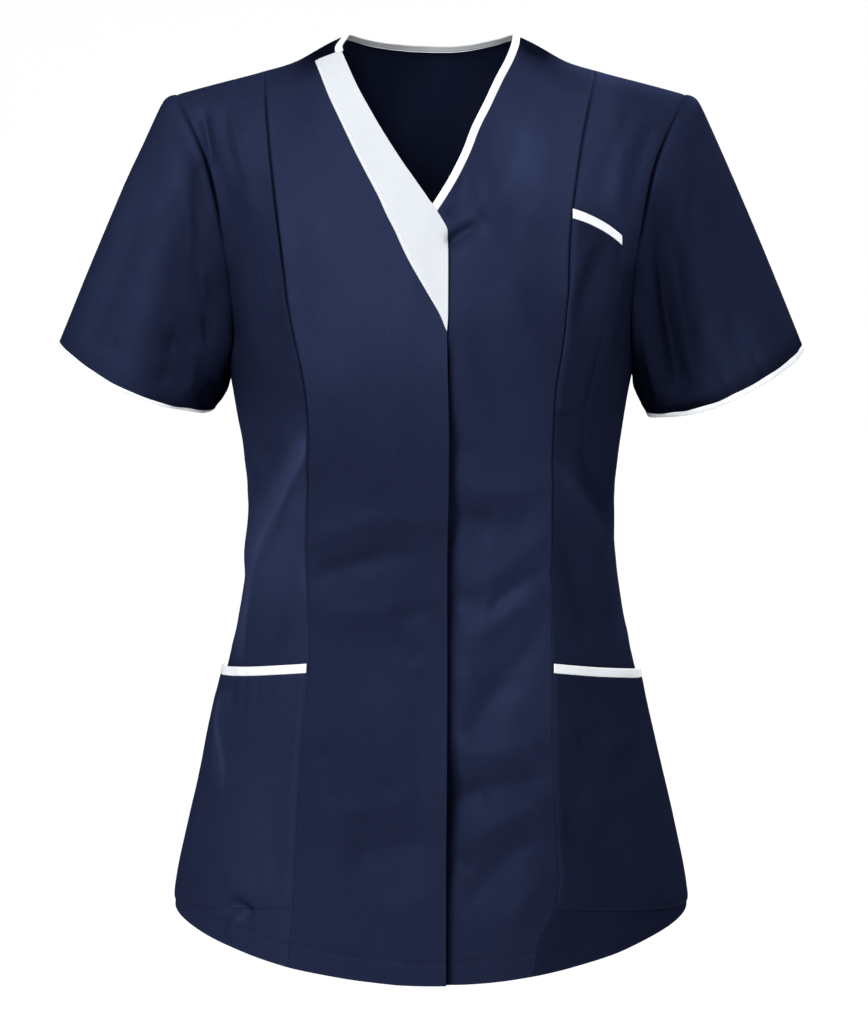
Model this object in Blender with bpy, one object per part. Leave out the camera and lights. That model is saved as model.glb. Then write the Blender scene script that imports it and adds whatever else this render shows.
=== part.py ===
"""Work tunic with short sleeves, a V neck, one lapel, princess seams and three pockets.

Metres, +Z up, the front towards -Y. The origin lies midway between the two points where
the neckline meets the shoulder seams, so the shoulder and side seams lie in the plane Y = 0.
Left and right in names are the wearer's: the wearer's right is -X.

A point of the body is named by turn and rise. Turn is the angle round the body from the
centre line, a quarter turn at a side seam. Rise goes from 0 at the hem to 1 at the shoulder
line. A point of a sleeve is named by around and along. Around goes from 0 at the shoulder
over the front to half a turn at the underarm, and along from 0 at the armhole to 1 at the hem.
"""

import math

import bmesh
import bpy
import numpy as np

FRONT = -1
BACK = 1
RIGHT = -1
LEFT = 1
QUARTER = math.pi / 2

# Cloth
WALL = 0.0012
BINDING_WALL = 0.0016
SEAM_GAP = 0.0004
LAYER_GAP = 0.0005
LAYER = WALL + LAYER_GAP

# Driving sizes of the body
NECK_HALF = 0.067
SHOULDER_HALF = 0.1915
SHOULDER_LINE_HALF = 0.215
SHOULDER_Z = -0.0432
UNDERARM_Z = -0.248
HEM_CENTRE_Z = -0.6965
HEM_SIDE_Z = -0.6635
HEM_CURVE = 1.8

# How full the sections are, and how chest and upper back round over to the shoulder
SECTION_POWER = 2.3
CHEST_START_Z = -0.21
UPPER_BACK_START_Z = -0.12
SHOULDER_ROUNDING = 1.7

# Front closing: the right front laps over the left one
OVERLAP_EDGE_X = 0.0127
UNDERLAP_EDGE_X = -0.0180
PLACKET_LIFT = 0.0021
PLACKET_LIFT_START_X = -0.0450
PLACKET_LIFT_END_X = -0.0220

# Bindings
NECK_BINDING_WIDTH = 0.0060
BINDING_FOOT_RISE = 0.778
LAPEL_TOP_RISE = 0.986
SLEEVE_BINDING_WIDTH = 0.0042
SLEEVE_BINDING_ROLLED = 0.0024
POCKET_BINDING_WIDTH = 0.0070

# Sleeves
CUFF_OUTER_X = 0.2815
CUFF_OUTER_Z = -0.2292
CUFF_INNER_X = 0.1640
CUFF_INNER_Z = -0.2800
CUFF_HALF_DEPTH = 0.0550
CUFF_SAG_FRONT = 0.0085
CUFF_SAG_BACK = 0.0040
SLEEVE_HEAD = 0.0086
SLEEVE_HEAD_LIFT = 0.16
SLEEVE_FULLNESS = 0.0060
UNDERARM_SLACK = 0.0035
SLEEVE_SEAM_GAP = 0.0006
SLEEVE_SEAM_RISE = 0.0002
UNDERARM_SEAM_RISE = 0.0018
SLEEVE_GIRTH_RADIUS = 0.060
SLEEVE_LENGTH = 0.150
# Shares of the sleeve's length over which its head, its fullness and its folds set in
HEAD_START = 0.012
FULLNESS_START = 0.060
FOLDS_START = 0.15
# Powers: how fast head and fullness fade to the hem, and how narrow head and slack are
SLEEVE_FADE = 1.6
HEAD_NARROWING = 1.5
SLACK_NARROWING = 4

# Lower pockets
POCKET_BOTTOM_Z = -0.6420
POCKET_MOUTH_INNER_Z = -0.4684
POCKET_MOUTH_SIDE_Z = -0.4885
POCKET_SHARES = (0.010, 0.980)
POCKET_STAND_OFF = 0.0020
POCKET_STAND_OFF_DEPTH = 0.150

# Folds: a fold fades in over this share of its length, and keeps this part at its ends
FOLD_FADE = 0.35
FOLD_END = 0.3

# Colours and roughness
NAVY = (0.020, 0.023, 0.060)
NAVY_ROUGHNESS = 0.75
WHITE = (0.80, 0.82, 0.85)
WHITE_ROUGHNESS = 0.70

# Grids, and the steps with which a seam's place is worked out
PANEL_COLUMNS = 11
SIDE_COLUMNS = 9
BACK_NECK_COLUMNS = 12
BACK_SHOULDER_COLUMNS = 8
LAPEL_ROWS = 25
LAPEL_COLUMNS = 5
BREAST_ROWS = 11
BREAST_COLUMNS = 7
POCKET_ROWS = 11
SLEEVE_COLUMNS = 30
SEAM_STEPS = 40
ARMHOLE_STEPS = 400
SMALL_TURN = 1e-3
SHARP_DEGREES = 40


def table(names, *rows):
    """A table as a dictionary of named columns."""
    return dict(zip(names.split(), np.array(rows, dtype=float).T))


# Half width and depths of the body by height
BODY = table(
    "z half front back",
    (-0.720, 0.1970, 0.146, 0.138),
    (-0.650, 0.1950, 0.140, 0.132),
    (-0.600, 0.1850, 0.133, 0.126),
    (-0.540, 0.1700, 0.126, 0.116),
    (-0.475, 0.1545, 0.117, 0.101),
    (-0.430, 0.1450, 0.112, 0.091),
    (-0.365, 0.1392, 0.111, 0.083),
    (-0.320, 0.1414, 0.121, 0.088),
    (-0.265, 0.1495, 0.134, 0.100),
    (-0.248, 0.1530, 0.136, 0.103),
    (-0.200, 0.1630, 0.128, 0.107),
    (-0.175, 0.1710, 0.121, 0.106),
    (-0.150, 0.1830, 0.116, 0.104),
    (-0.122, 0.1970, 0.111, 0.101),
    (-0.085, 0.2100, 0.107, 0.095),
    (-0.050, 0.2150, 0.106, 0.089),
    (0.040, 0.2150, 0.105, 0.084),
)

# The shoulder line by distance from the centre, running on above the neckline as a guide
RIDGE = table(
    "x z",
    (0.000, 0.0290),
    (0.030, 0.0165),
    (0.067, 0.0000),
    (0.075, -0.0038),
    (0.083, -0.0082),
    (0.099, -0.0173),
    (0.127, -0.0262),
    (0.161, -0.0351),
    (0.191, -0.0430),
    (0.215, -0.0500),
)

# Where the armhole crosses each height, in front and behind
ARMHOLE = table(
    "z front back",
    (-0.2480, 0.1530, 0.1530),
    (-0.2300, 0.1505, 0.1525),
    (-0.1775, 0.1515, 0.1580),
    (-0.1300, 0.1585, 0.1665),
    (-0.0925, 0.1680, 0.1735),
    (-0.0432, 0.1915, 0.1915),
)

# The princess seams' distances from the centre line
PRINCESS = table(
    "z right left",
    (-0.720, 0.1085, 0.0735),
    (-0.680, 0.1065, 0.0795),
    (-0.645, 0.1037, 0.0860),
    (-0.612, 0.1025, 0.0925),
    (-0.570, 0.1008, 0.0910),
    (-0.530, 0.0985, 0.0888),
    (-0.460, 0.0933, 0.0893),
    (-0.385, 0.0932, 0.0900),
    (-0.292, 0.0925, 0.0908),
    (-0.255, 0.0943, 0.0920),
    (-0.196, 0.1025, 0.1003),
    (-0.146, 0.1094, 0.1025),
    (-0.081, 0.1197, 0.1092),
    (-0.030, 0.1250, 0.1190),
)

# The right front's free edge, up the closing and along the V
RIGHT_NECK = table(
    "z x",
    (-0.1435, OVERLAP_EDGE_X),
    (-0.1356, 0.0115),
    (-0.1190, 0.0007),
    (-0.0847, -0.0236),
    (-0.0603, -0.0393),
    (-0.0360, -0.0536),
    (-0.0153, -0.0640),
    (-0.0097, -0.0665),
    (0.0000, -0.0670),
)

# The left front's free edge, which is hidden up to the V's foot
LEFT_NECK = table(
    "z x",
    (-0.1600, UNDERLAP_EDGE_X),
    (-0.1510, -0.0150),
    (-0.1241, 0.0044),
    (-0.0998, 0.0199),
    (-0.0820, 0.0290),
    (-0.0646, 0.0360),
    (-0.0467, 0.0453),
    (-0.0302, 0.0535),
    (-0.0160, 0.0615),
    (-0.0033, 0.0665),
    (0.0000, 0.0670),
)

# The back neck edge by distance from the centre
BACK_NECK = table(
    "x z",
    (0.000, -0.0168),
    (0.020, -0.0158),
    (0.040, -0.0120),
    (0.055, -0.0062),
    (0.063, -0.0022),
    (0.067, 0.0000),
)

# The lapel from its tip to its top: inner edge and outer edge
LAPEL = table(
    "inner_x inner_z outer_x outer_z",
    (0.0117, -0.2100, 0.0105, -0.2075),
    (0.0125, -0.2000, 0.0060, -0.1970),
    (OVERLAP_EDGE_X, -0.1800, -0.0044, -0.1799),
    (OVERLAP_EDGE_X, -0.1580, -0.0169, -0.1585),
    (0.0125, -0.1420, -0.0265, -0.1385),
    (0.0110, -0.1350, -0.0325, -0.1270),
    (0.0007, -0.1190, -0.0390, -0.1130),
    (-0.0120, -0.1010, -0.0480, -0.0965),
    (-0.0236, -0.0847, -0.0560, -0.0815),
    (-0.0393, -0.0603, -0.0665, -0.0605),
    (-0.0536, -0.0360, -0.0755, -0.0425),
    (-0.0610, -0.0210, -0.0815, -0.0285),
    (-0.0665, -0.0097, -0.0862, -0.0179),
)

# The breast pocket from its mouth down: the side by the seam and the side by the armhole
BREAST_POCKET = table(
    "inner_x inner_z outer_x outer_z",
    (0.1048, -0.1300, 0.1416, -0.1490),
    (0.1035, -0.1600, 0.1370, -0.1750),
    (0.1025, -0.1900, 0.1310, -0.2020),
    (0.0980, -0.2200, 0.1245, -0.2290),
    (0.0945, -0.2500, 0.1175, -0.2560),
    (0.0937, -0.2690, 0.1130, -0.2735),
)

# The largest folds of the body: a soft ridge, or a trough where the height is below 0,
# along a line across the front or the back
BODY_FOLDS = table(
    "side x0 z0 x1 z1 width height",
    (FRONT, -0.098, -0.285, -0.142, -0.425, 0.014, 0.0032),
    (FRONT, 0.093, -0.320, 0.136, -0.415, 0.013, 0.0028),
    (FRONT, -0.172, -0.060, -0.146, -0.130, 0.009, -0.0026),
    (FRONT, 0.164, -0.066, 0.143, -0.106, 0.010, -0.0028),
    (FRONT, -0.088, -0.392, -0.035, -0.380, 0.009, -0.0018),
    (FRONT, 0.084, -0.385, 0.032, -0.450, 0.012, 0.0020),
    (FRONT, 0.080, -0.430, 0.034, -0.520, 0.013, -0.0018),
    (FRONT, -0.062, -0.500, -0.078, -0.680, 0.020, 0.0026),
    (FRONT, 0.056, -0.520, 0.066, -0.680, 0.020, 0.0024),
    (BACK, -0.060, -0.420, -0.078, -0.670, 0.022, 0.0030),
    (BACK, 0.064, -0.430, 0.080, -0.670, 0.020, 0.0028),
    (BACK, -0.100, -0.360, -0.030, -0.372, 0.011, -0.0022),
    (BACK, 0.030, -0.352, 0.104, -0.366, 0.012, -0.0022),
    (BACK, -0.150, -0.120, -0.118, -0.230, 0.014, -0.0026),
    (BACK, 0.152, -0.115, 0.120, -0.240, 0.014, -0.0028),
)

# The largest folds of the sleeves, with around in degrees
SLEEVE_FOLDS = table(
    "side around0 along0 around1 along1 width height",
    (RIGHT, 66, 0.08, 84, 0.62, 0.010, -0.0028),
    (RIGHT, 104, 0.40, 118, 0.90, 0.009, -0.0032),
    (RIGHT, 84, 0.62, 96, 1.00, 0.010, -0.0024),
    (RIGHT, 268, 0.12, 240, 0.80, 0.012, -0.0030),
    (RIGHT, 300, 0.30, 292, 0.95, 0.012, 0.0026),
    (LEFT, 60, 0.10, 70, 0.46, 0.010, -0.0022),
    (LEFT, 100, 0.22, 112, 0.86, 0.010, -0.0034),
    (LEFT, 62, 0.66, 74, 1.00, 0.010, -0.0024),
    (LEFT, 266, 0.14, 244, 0.78, 0.012, -0.0030),
    (LEFT, 304, 0.28, 290, 0.95, 0.012, 0.0026),
)

# Rises of the panels' rows, closer at the underarm, the V's foot and the shoulder
ROWS = np.concatenate([
    np.linspace(0.0, 0.62, 19),
    [0.650, 0.669, 0.681, 0.694, 0.712, 0.735, 0.760, 0.778, 0.796, 0.822, 0.850, 0.878],
    [0.905, 0.930, 0.952, 0.969, LAPEL_TOP_RISE, 0.993, 0.998, 1.0],
])
SLEEVE_ROWS = np.array([0.0, 0.02, 0.06, 0.13, 0.24, 0.38, 0.53, 0.68, 0.83, 0.94, 1.0])


def smooth_curve(at, places, values):
    """A smooth cubic through a table's points, with rising places."""
    slopes = np.gradient(values, places)
    index = np.clip(np.searchsorted(places, at) - 1, 0, len(places) - 2)
    width = places[index + 1] - places[index]
    part = np.clip((at - places[index]) / width, 0.0, 1.0)
    start = (1 + 2 * part) * (1 - part) ** 2 * values[index]
    end = part ** 2 * (3 - 2 * part) * values[index + 1]
    leaving = part * (1 - part) ** 2 * width * slopes[index]
    arriving = part ** 2 * (part - 1) * width * slopes[index + 1]
    return start + end + leaving + arriving


def ease(part):
    """0 to 1 with level ends."""
    part = np.clip(part, 0.0, 1.0)
    return part * part * (3 - 2 * part)


def unit(vectors):
    return vectors / np.linalg.norm(vectors, axis=-1, keepdims=True)


def half_width(z):
    return smooth_curve(z, BODY["z"], BODY["half"])


def ridge_z(x):
    return smooth_curve(np.abs(x), RIDGE["x"], RIDGE["z"])


def hem_z(turn):
    lift = np.abs(np.sin(turn)) ** HEM_CURVE
    return HEM_CENTRE_Z + (HEM_SIDE_Z - HEM_CENTRE_Z) * lift


def top_z(turn):
    return ridge_z(SHOULDER_LINE_HALF * np.sin(turn))


def rise_at(turn, z):
    return np.clip((z - hem_z(turn)) / (top_z(turn) - hem_z(turn)), 0.0, 1.0)


def turn_at(x, z):
    return np.arcsin(np.clip(x / half_width(z), -1.0, 1.0))


def smooth_body(side, turn, rise):
    """Points of the body without its folds."""
    turn, rise = np.broadcast_arrays(np.asarray(turn, float), np.asarray(rise, float))
    top = top_z(turn)
    z = hem_z(turn) + (top - hem_z(turn)) * rise
    start = CHEST_START_Z if side == FRONT else UPPER_BACK_START_Z
    over = np.clip((z - start) / (top - start), 0.0, 1.0)
    rounding = (1 - over ** SHOULDER_ROUNDING) ** (1 / SHOULDER_ROUNDING)
    across = np.minimum(np.abs(np.sin(turn)), 1.0)
    section = (1 - across ** SECTION_POWER) ** (1 / SECTION_POWER)
    depth = smooth_curve(z, BODY["z"], BODY["front" if side == FRONT else "back"])
    x = half_width(z) * np.sin(turn)
    y = side * (SEAM_GAP / 2 + depth * section * rounding)
    return np.stack([x, y, z], axis=-1)


def body_normal(side, turn, rise):
    """Outward directions of the body."""
    turn_step, rise_step = 1e-4, 1e-5
    across = smooth_body(side, np.clip(turn + turn_step, -QUARTER, QUARTER), rise)
    across = across - smooth_body(side, np.clip(turn - turn_step, -QUARTER, QUARTER), rise)
    upward = smooth_body(side, turn, np.clip(rise + rise_step, 0.0, 1.0))
    upward = upward - smooth_body(side, turn, np.clip(rise - rise_step, 0.0, 1.0))
    return unit(-side * np.cross(across, upward))


def fold_heights(folds, first, second, first_name, second_name):
    """Heights of soft folds over a plane whose two coordinates are in metres."""
    total = np.zeros(np.broadcast(first, second).shape)
    for row in range(len(folds["width"])):
        start = np.array([folds[first_name + "0"][row], folds[second_name + "0"][row]])
        run = np.array([folds[first_name + "1"][row], folds[second_name + "1"][row]]) - start
        length = np.hypot(*run)
        part = ((first - start[0]) * run[0] + (second - start[1]) * run[1]) / length ** 2
        off = ((first - start[0]) * run[1] - (second - start[1]) * run[0]) / length
        fade = ease(part / FOLD_FADE + FOLD_END) * ease((1 - part) / FOLD_FADE + FOLD_END)
        total = total + folds["height"][row] * fade * np.exp(-((off / folds["width"][row]) ** 2))
    return total


def rows_for(folds, side):
    keep = folds["side"] == side
    return {name: column[keep] for name, column in folds.items()}


def body_skin(side, turn, rise):
    """Points of the body with its folds, and their outward directions."""
    points = smooth_body(side, turn, rise)
    normals = body_normal(side, turn, rise)
    folds = rows_for(BODY_FOLDS, side)
    height = fold_heights(folds, points[..., 0], points[..., 2], "x", "z")
    return points + normals * height[..., None], normals


def edge_turns(rises, edge_x):
    """Turns at which the rows meet an edge that is given as x by height."""
    turn = np.zeros_like(rises)
    for _ in range(SEAM_STEPS):
        z = hem_z(turn) + (top_z(turn) - hem_z(turn)) * rises
        turn = 0.5 * turn + 0.5 * turn_at(edge_x(z), z)
    return turn


def princess_x(hand, gap):
    """The princess seam of one side, a gap nearer the side seam or the centre."""
    column = PRINCESS["right" if hand == RIGHT else "left"]
    return lambda z: hand * (smooth_curve(z, PRINCESS["z"], column) + gap)


def armhole_x(hand, side, gap):
    """The side seam and, above the underarm, the armhole."""
    column = ARMHOLE["front" if side == FRONT else "back"]

    def edge(z):
        open_x = smooth_curve(z, ARMHOLE["z"], column) - gap
        return hand * np.where(z < UNDERARM_Z, half_width(z), open_x)

    return edge


def closing_x(neck):
    return lambda z: smooth_curve(z, neck["z"], neck["x"])


def placket_offset(x):
    """How far the right front rises where it laps over the left one."""
    run = PLACKET_LIFT_END_X - PLACKET_LIFT_START_X
    return PLACKET_LIFT * ease((x - PLACKET_LIFT_START_X) / run)


def add_wall(name, middle, normal, offset, thickness, material, ring=False):
    """A closed wall of even thickness on a grid of rows and columns."""
    rows, columns = middle.shape[:2]
    offset = np.broadcast_to(offset, (rows, columns))[..., None]
    outer = middle + normal * (offset + thickness / 2)
    inner = middle + normal * (offset - thickness / 2)
    points = np.concatenate([outer.reshape(-1, 3), inner.reshape(-1, 3)])
    count = rows * columns
    faces = []

    def quad(a, b, c, d):
        faces.extend([(a, b, c), (a, c, d)])

    for row in range(rows - 1):
        for column in range(columns if ring else columns - 1):
            a = row * columns + column
            b = row * columns + (column + 1) % columns
            c, d = b + columns, a + columns
            quad(a, b, c, d)
            quad(d + count, c + count, b + count, a + count)
    for column in range(columns if ring else columns - 1):
        a, b = column, (column + 1) % columns
        quad(b, a, a + count, b + count)
        a, b = a + count - columns, b + count - columns
        quad(a, b, b + count, a + count)
    if not ring:
        for row in range(rows - 1):
            a, d = row * columns, (row + 1) * columns
            quad(a, d, d + count, a + count)
            b, c = a + columns - 1, d + columns - 1
            quad(c, b, b + count, c + count)
    mesh = bpy.data.meshes.new(name)
    mesh.from_pydata([tuple(point) for point in points], [], faces)
    work = bmesh.new()
    work.from_mesh(mesh)
    bmesh.ops.recalc_face_normals(work, faces=work.faces)
    work.to_mesh(mesh)
    work.free()
    mesh.materials.append(material)
    mesh.shade_smooth()
    mesh.set_sharp_from_angle(angle=math.radians(SHARP_DEGREES))
    thing = bpy.data.objects.new(name, mesh)
    bpy.context.scene.collection.objects.link(thing)
    return thing


def make_material(name, colour, roughness):
    material = bpy.data.materials.new(name)
    material.use_nodes = True
    shader = material.node_tree.nodes["Principled BSDF"]
    shader.inputs["Base Color"].default_value = (*colour, 1.0)
    shader.inputs["Roughness"].default_value = roughness
    shader.inputs["Metallic"].default_value = 0.0
    return material


def add_panel(name, side, left_x, right_x, columns, offset_by_x, material):
    """A panel of the body between two edges."""
    left = edge_turns(ROWS, left_x)[:, None]
    right = edge_turns(ROWS, right_x)[:, None]
    turn = left + (right - left) * np.linspace(0.0, 1.0, columns)
    points, normals = body_skin(side, turn, ROWS[:, None])
    add_wall(name, points, normals, offset_by_x(points[..., 0]), WALL, material)


def flat(x):
    return np.zeros_like(x)


def add_fronts(navy):
    gap = SEAM_GAP / 2
    add_panel("front_right", FRONT, princess_x(RIGHT, -gap), closing_x(RIGHT_NECK),
              PANEL_COLUMNS, placket_offset, navy)
    add_panel("front_left", FRONT, closing_x(LEFT_NECK), princess_x(LEFT, -gap),
              PANEL_COLUMNS, flat, navy)
    add_panel("side_front_right", FRONT, armhole_x(RIGHT, FRONT, gap), princess_x(RIGHT, gap),
              SIDE_COLUMNS, flat, navy)
    add_panel("side_front_left", FRONT, princess_x(LEFT, gap), armhole_x(LEFT, FRONT, gap),
              SIDE_COLUMNS, flat, navy)


def back_cap(turn):
    """The rise of the back's upper edge: the shoulder line, and the neck curve between."""
    x = SHOULDER_LINE_HALF * np.abs(np.sin(turn))
    neck = rise_at(turn, smooth_curve(x, BACK_NECK["x"], BACK_NECK["z"]))
    return np.where(x < NECK_HALF, neck, 1.0)


def back_turns(rises):
    """Turns of the back's columns, with one at each end of the neck curve."""
    neck_share = math.asin(NECK_HALF / SHOULDER_LINE_HALF)
    neck_share = neck_share / math.asin(SHOULDER_HALF / SHOULDER_LINE_HALF)
    shoulder_part = np.linspace(-1.0, -neck_share, BACK_SHOULDER_COLUMNS)
    neck_part = np.linspace(-neck_share, neck_share, BACK_NECK_COLUMNS + 1)
    shares = np.concatenate([shoulder_part[:-1], neck_part, -shoulder_part[::-1][1:]])
    return edge_turns(rises, armhole_x(LEFT, BACK, SEAM_GAP / 2))[:, None] * shares


def add_back(navy):
    turn = back_turns(ROWS)
    points, normals = body_skin(BACK, turn, ROWS[:, None] * back_cap(turn[-1]))
    add_wall("back", points, normals, 0.0, WALL, navy)


def add_neck_binding(white):
    """The binding up the left V, round the back neck and down to the lapel's top."""
    left_turn = edge_turns(ROWS, closing_x(LEFT_NECK))
    right_turn = edge_turns(ROWS, closing_x(RIGHT_NECK))
    left_rows = ROWS >= BINDING_FOOT_RISE
    right_rows = ROWS >= LAPEL_TOP_RISE
    back_turn = back_turns(ROWS[-1:])[0]
    neck = np.abs(np.sin(back_turn)) * SHOULDER_LINE_HALF < NECK_HALF - SEAM_GAP
    back_turn = back_turn[neck][::-1]
    stations = (
        (FRONT, left_turn[left_rows], ROWS[left_rows]),
        (BACK, back_turn, back_cap(back_turn)),
        (FRONT, right_turn[right_rows][::-1], ROWS[right_rows][::-1]),
    )
    parts = [body_skin(side, turn, rise) for side, turn, rise in stations]
    edge = np.concatenate([points for points, normals in parts])
    normals = np.concatenate([normals for points, normals in parts])
    towards_neck = unit(np.cross(normals, unit(np.gradient(edge, axis=0))))
    rails = np.stack([edge + towards_neck * SEAM_GAP, edge + towards_neck * NECK_BINDING_WIDTH])
    add_wall("neck_binding", rails, np.stack([normals, normals]), 0.0, BINDING_WALL, white)


def patch_on_body(edges, rows, columns):
    """Points and directions of a front patch between an inner and an outer edge."""
    stations = np.arange(len(edges["inner_x"]), dtype=float)
    at = np.linspace(0.0, stations[-1], rows)
    edges = {name: smooth_curve(at, stations, column) for name, column in edges.items()}
    shares = np.linspace(0.0, 1.0, columns)
    inner_turn = turn_at(edges["inner_x"], edges["inner_z"])[:, None]
    outer_turn = turn_at(edges["outer_x"], edges["outer_z"])[:, None]
    turn = inner_turn + (outer_turn - inner_turn) * shares
    z = edges["inner_z"][:, None] + (edges["outer_z"] - edges["inner_z"])[:, None] * shares
    return body_skin(FRONT, turn, rise_at(turn, z))


def add_lapel(white):
    points, normals = patch_on_body(LAPEL, LAPEL_ROWS, LAPEL_COLUMNS)
    add_wall("lapel", points, normals, placket_offset(points[..., 0]) + LAYER, WALL, white)


def binding_edges(inner_x, inner_z, outer_x, outer_z, width):
    """A binding's lower and upper edge above a pocket's mouth."""
    names = "inner_x inner_z outer_x outer_z"
    start, end = SEAM_GAP, width
    low = (inner_x, inner_z + start, outer_x, outer_z + start)
    high = (inner_x, inner_z + end, outer_x, outer_z + end)
    return table(names, low, high)


def add_breast_pocket(navy, white):
    points, normals = patch_on_body(BREAST_POCKET, BREAST_ROWS, BREAST_COLUMNS)
    add_wall("breast_pocket", points, normals, LAYER, WALL, navy)
    mouth = [BREAST_POCKET[name][0] for name in ("inner_x", "inner_z", "outer_x", "outer_z")]
    edges = binding_edges(*mouth, POCKET_BINDING_WIDTH)
    points, normals = patch_on_body(edges, 2, BREAST_COLUMNS)
    lift = LAYER + (BINDING_WALL - WALL) / 2
    add_wall("breast_pocket_binding", points, normals, lift, BINDING_WALL, white)


def pocket_patch(hand, upper_z, lower_z, rows):
    """Points, directions and stand-off of a lower pocket between two heights."""
    down = np.linspace(0.0, 1.0, rows)[:, None]
    across = np.linspace(0.0, 1.0, SIDE_COLUMNS)
    across[[0, -1]] = POCKET_SHARES
    mouth_z = POCKET_MOUTH_INNER_Z + (POCKET_MOUTH_SIDE_Z - POCKET_MOUTH_INNER_Z) * across
    z = mouth_z + upper_z + (lower_z - upper_z) * down
    seam = np.abs(turn_at(princess_x(hand, SEAM_GAP / 2)(z), z))
    turn = hand * (seam + (QUARTER - seam) * across)
    points, normals = body_skin(FRONT, turn, rise_at(turn, z))
    depth = np.clip((POCKET_MOUTH_INNER_Z - points[..., 2]) / POCKET_STAND_OFF_DEPTH, 0.0, 1.0)
    return points, normals, LAYER + POCKET_STAND_OFF * ease(across) * (1 - ease(depth))


def add_lower_pocket(hand, label, navy, white):
    bottom = POCKET_BOTTOM_Z - POCKET_MOUTH_INNER_Z
    points, normals, lift = pocket_patch(hand, 0.0, bottom, POCKET_ROWS)
    add_wall("lower_pocket_" + label, points, normals, lift, WALL, navy)
    points, normals, lift = pocket_patch(hand, POCKET_BINDING_WIDTH, SEAM_GAP, 2)
    lift = lift + (BINDING_WALL - WALL) / 2
    add_wall("lower_pocket_binding_" + label, points, normals, lift, BINDING_WALL, white)


def armhole_loop(hand, around):
    """The body's armhole edge, with its outward direction and the way across the seam."""
    points, normals, acrosses = [], [], []
    for side, low, high in ((FRONT, 0.0, math.pi), (BACK, math.pi, 2 * math.pi)):
        share = np.linspace(0.0, 1.0, ARMHOLE_STEPS)
        z = SHOULDER_Z + (UNDERARM_Z - SHOULDER_Z) * share
        turn = turn_at(armhole_x(hand, side, 0.0)(z), z)
        edge = smooth_body(side, turn, rise_at(turn, z))
        reach = np.concatenate([[0.0], np.cumsum(np.linalg.norm(np.diff(edge, axis=0), axis=1))])
        wanted = around[(around >= low) & (around < high)]
        wanted = wanted / math.pi if side == FRONT else 2 - wanted / math.pi
        z = np.interp(wanted * reach[-1], reach, z)
        turn = turn_at(armhole_x(hand, side, 0.0)(z), z)
        rise = rise_at(turn, z)
        edge = smooth_body(side, turn, rise)
        points.append(edge)
        normals.append(body_normal(side, turn, rise))
        acrosses.append(edge - smooth_body(side, turn - hand * SMALL_TURN, rise))
    return np.concatenate(points), np.concatenate(normals), unit(np.concatenate(acrosses))


def sleeve_point(hand, around, along):
    """Points of the sleeve without its folds."""
    seam, normals, across = armhole_loop(hand, around)
    under = (1 - np.cos(around)) / 2
    clear = normals * (SLEEVE_SEAM_RISE + (UNDERARM_SEAM_RISE - SLEEVE_SEAM_RISE) * under)[:, None]
    start = seam + clear + across * (SLEEVE_SEAM_GAP * (1 - under))[:, None]
    sag = np.where(around < math.pi, CUFF_SAG_FRONT, CUFF_SAG_BACK) * np.sin(around) ** 2
    reach = (CUFF_OUTER_X - CUFF_INNER_X) / 2 * np.cos(around)
    drop = (CUFF_OUTER_Z - CUFF_INNER_Z) / 2 * np.cos(around)
    cuff = np.stack([
        hand * ((CUFF_OUTER_X + CUFF_INNER_X) / 2 + reach),
        -CUFF_HALF_DEPTH * np.sin(around),
        (CUFF_OUTER_Z + CUFF_INNER_Z) / 2 + drop - sag,
    ], axis=-1)
    along = np.asarray(along)[:, None, None]
    points = start + (cuff - start) * along
    head = SLEEVE_HEAD * (1 - under) ** HEAD_NARROWING
    full = SLEEVE_FULLNESS * np.sin(around)
    fade = 1 - along ** SLEEVE_FADE
    head_rise = fade * (1 - np.exp(-along / HEAD_START))
    full_rise = fade * (1 - np.exp(-along / FULLNESS_START))
    points = points + head_rise * np.stack([hand * head, 0 * head, SLEEVE_HEAD_LIFT * head], axis=-1)
    points = points + full_rise * np.stack([0 * full, -full, 0 * full], axis=-1)
    slack = UNDERARM_SLACK * under ** SLACK_NARROWING
    slack_rise = np.sin(math.pi * along)
    return points - slack_rise * np.stack([hand * slack, 0 * slack, 0 * slack], axis=-1)


def sleeve_skin(hand, around, along):
    """Points of the sleeve with its folds, and their outward directions."""
    points = sleeve_point(hand, around, along)
    turned = np.roll(points, -1, axis=1) - np.roll(points, 1, axis=1)
    outward = np.gradient(points, along, axis=0)
    normals = unit(hand * np.cross(turned, outward))
    folds = rows_for(SLEEVE_FOLDS, hand)
    for name in ("around0", "around1"):
        folds[name] = np.radians(folds[name]) * SLEEVE_GIRTH_RADIUS
    for name in ("along0", "along1"):
        folds[name] = folds[name] * SLEEVE_LENGTH
    across = around[None, :] * SLEEVE_GIRTH_RADIUS
    down = along[:, None] * SLEEVE_LENGTH
    height = fold_heights(folds, across, down, "around", "along")
    height = height * ease(along / FOLDS_START)[:, None]
    return points + normals * height[..., None], normals


def add_sleeve(hand, label, navy, white):
    around = np.linspace(0.0, 2 * math.pi, SLEEVE_COLUMNS, endpoint=False)
    points, normals = sleeve_skin(hand, around, SLEEVE_ROWS)
    add_wall("sleeve_" + label, points, normals, 0.0, WALL, navy, ring=True)
    width = SLEEVE_BINDING_WIDTH if hand == LEFT else SLEEVE_BINDING_ROLLED
    run = unit(points[-1] - points[-2])
    rails = np.stack([points[-1] + run * SEAM_GAP, points[-1] + run * width])
    add_wall("sleeve_binding_" + label, rails, np.stack([normals[-1]] * 2), 0.0,
             BINDING_WALL, white, ring=True)


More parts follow.
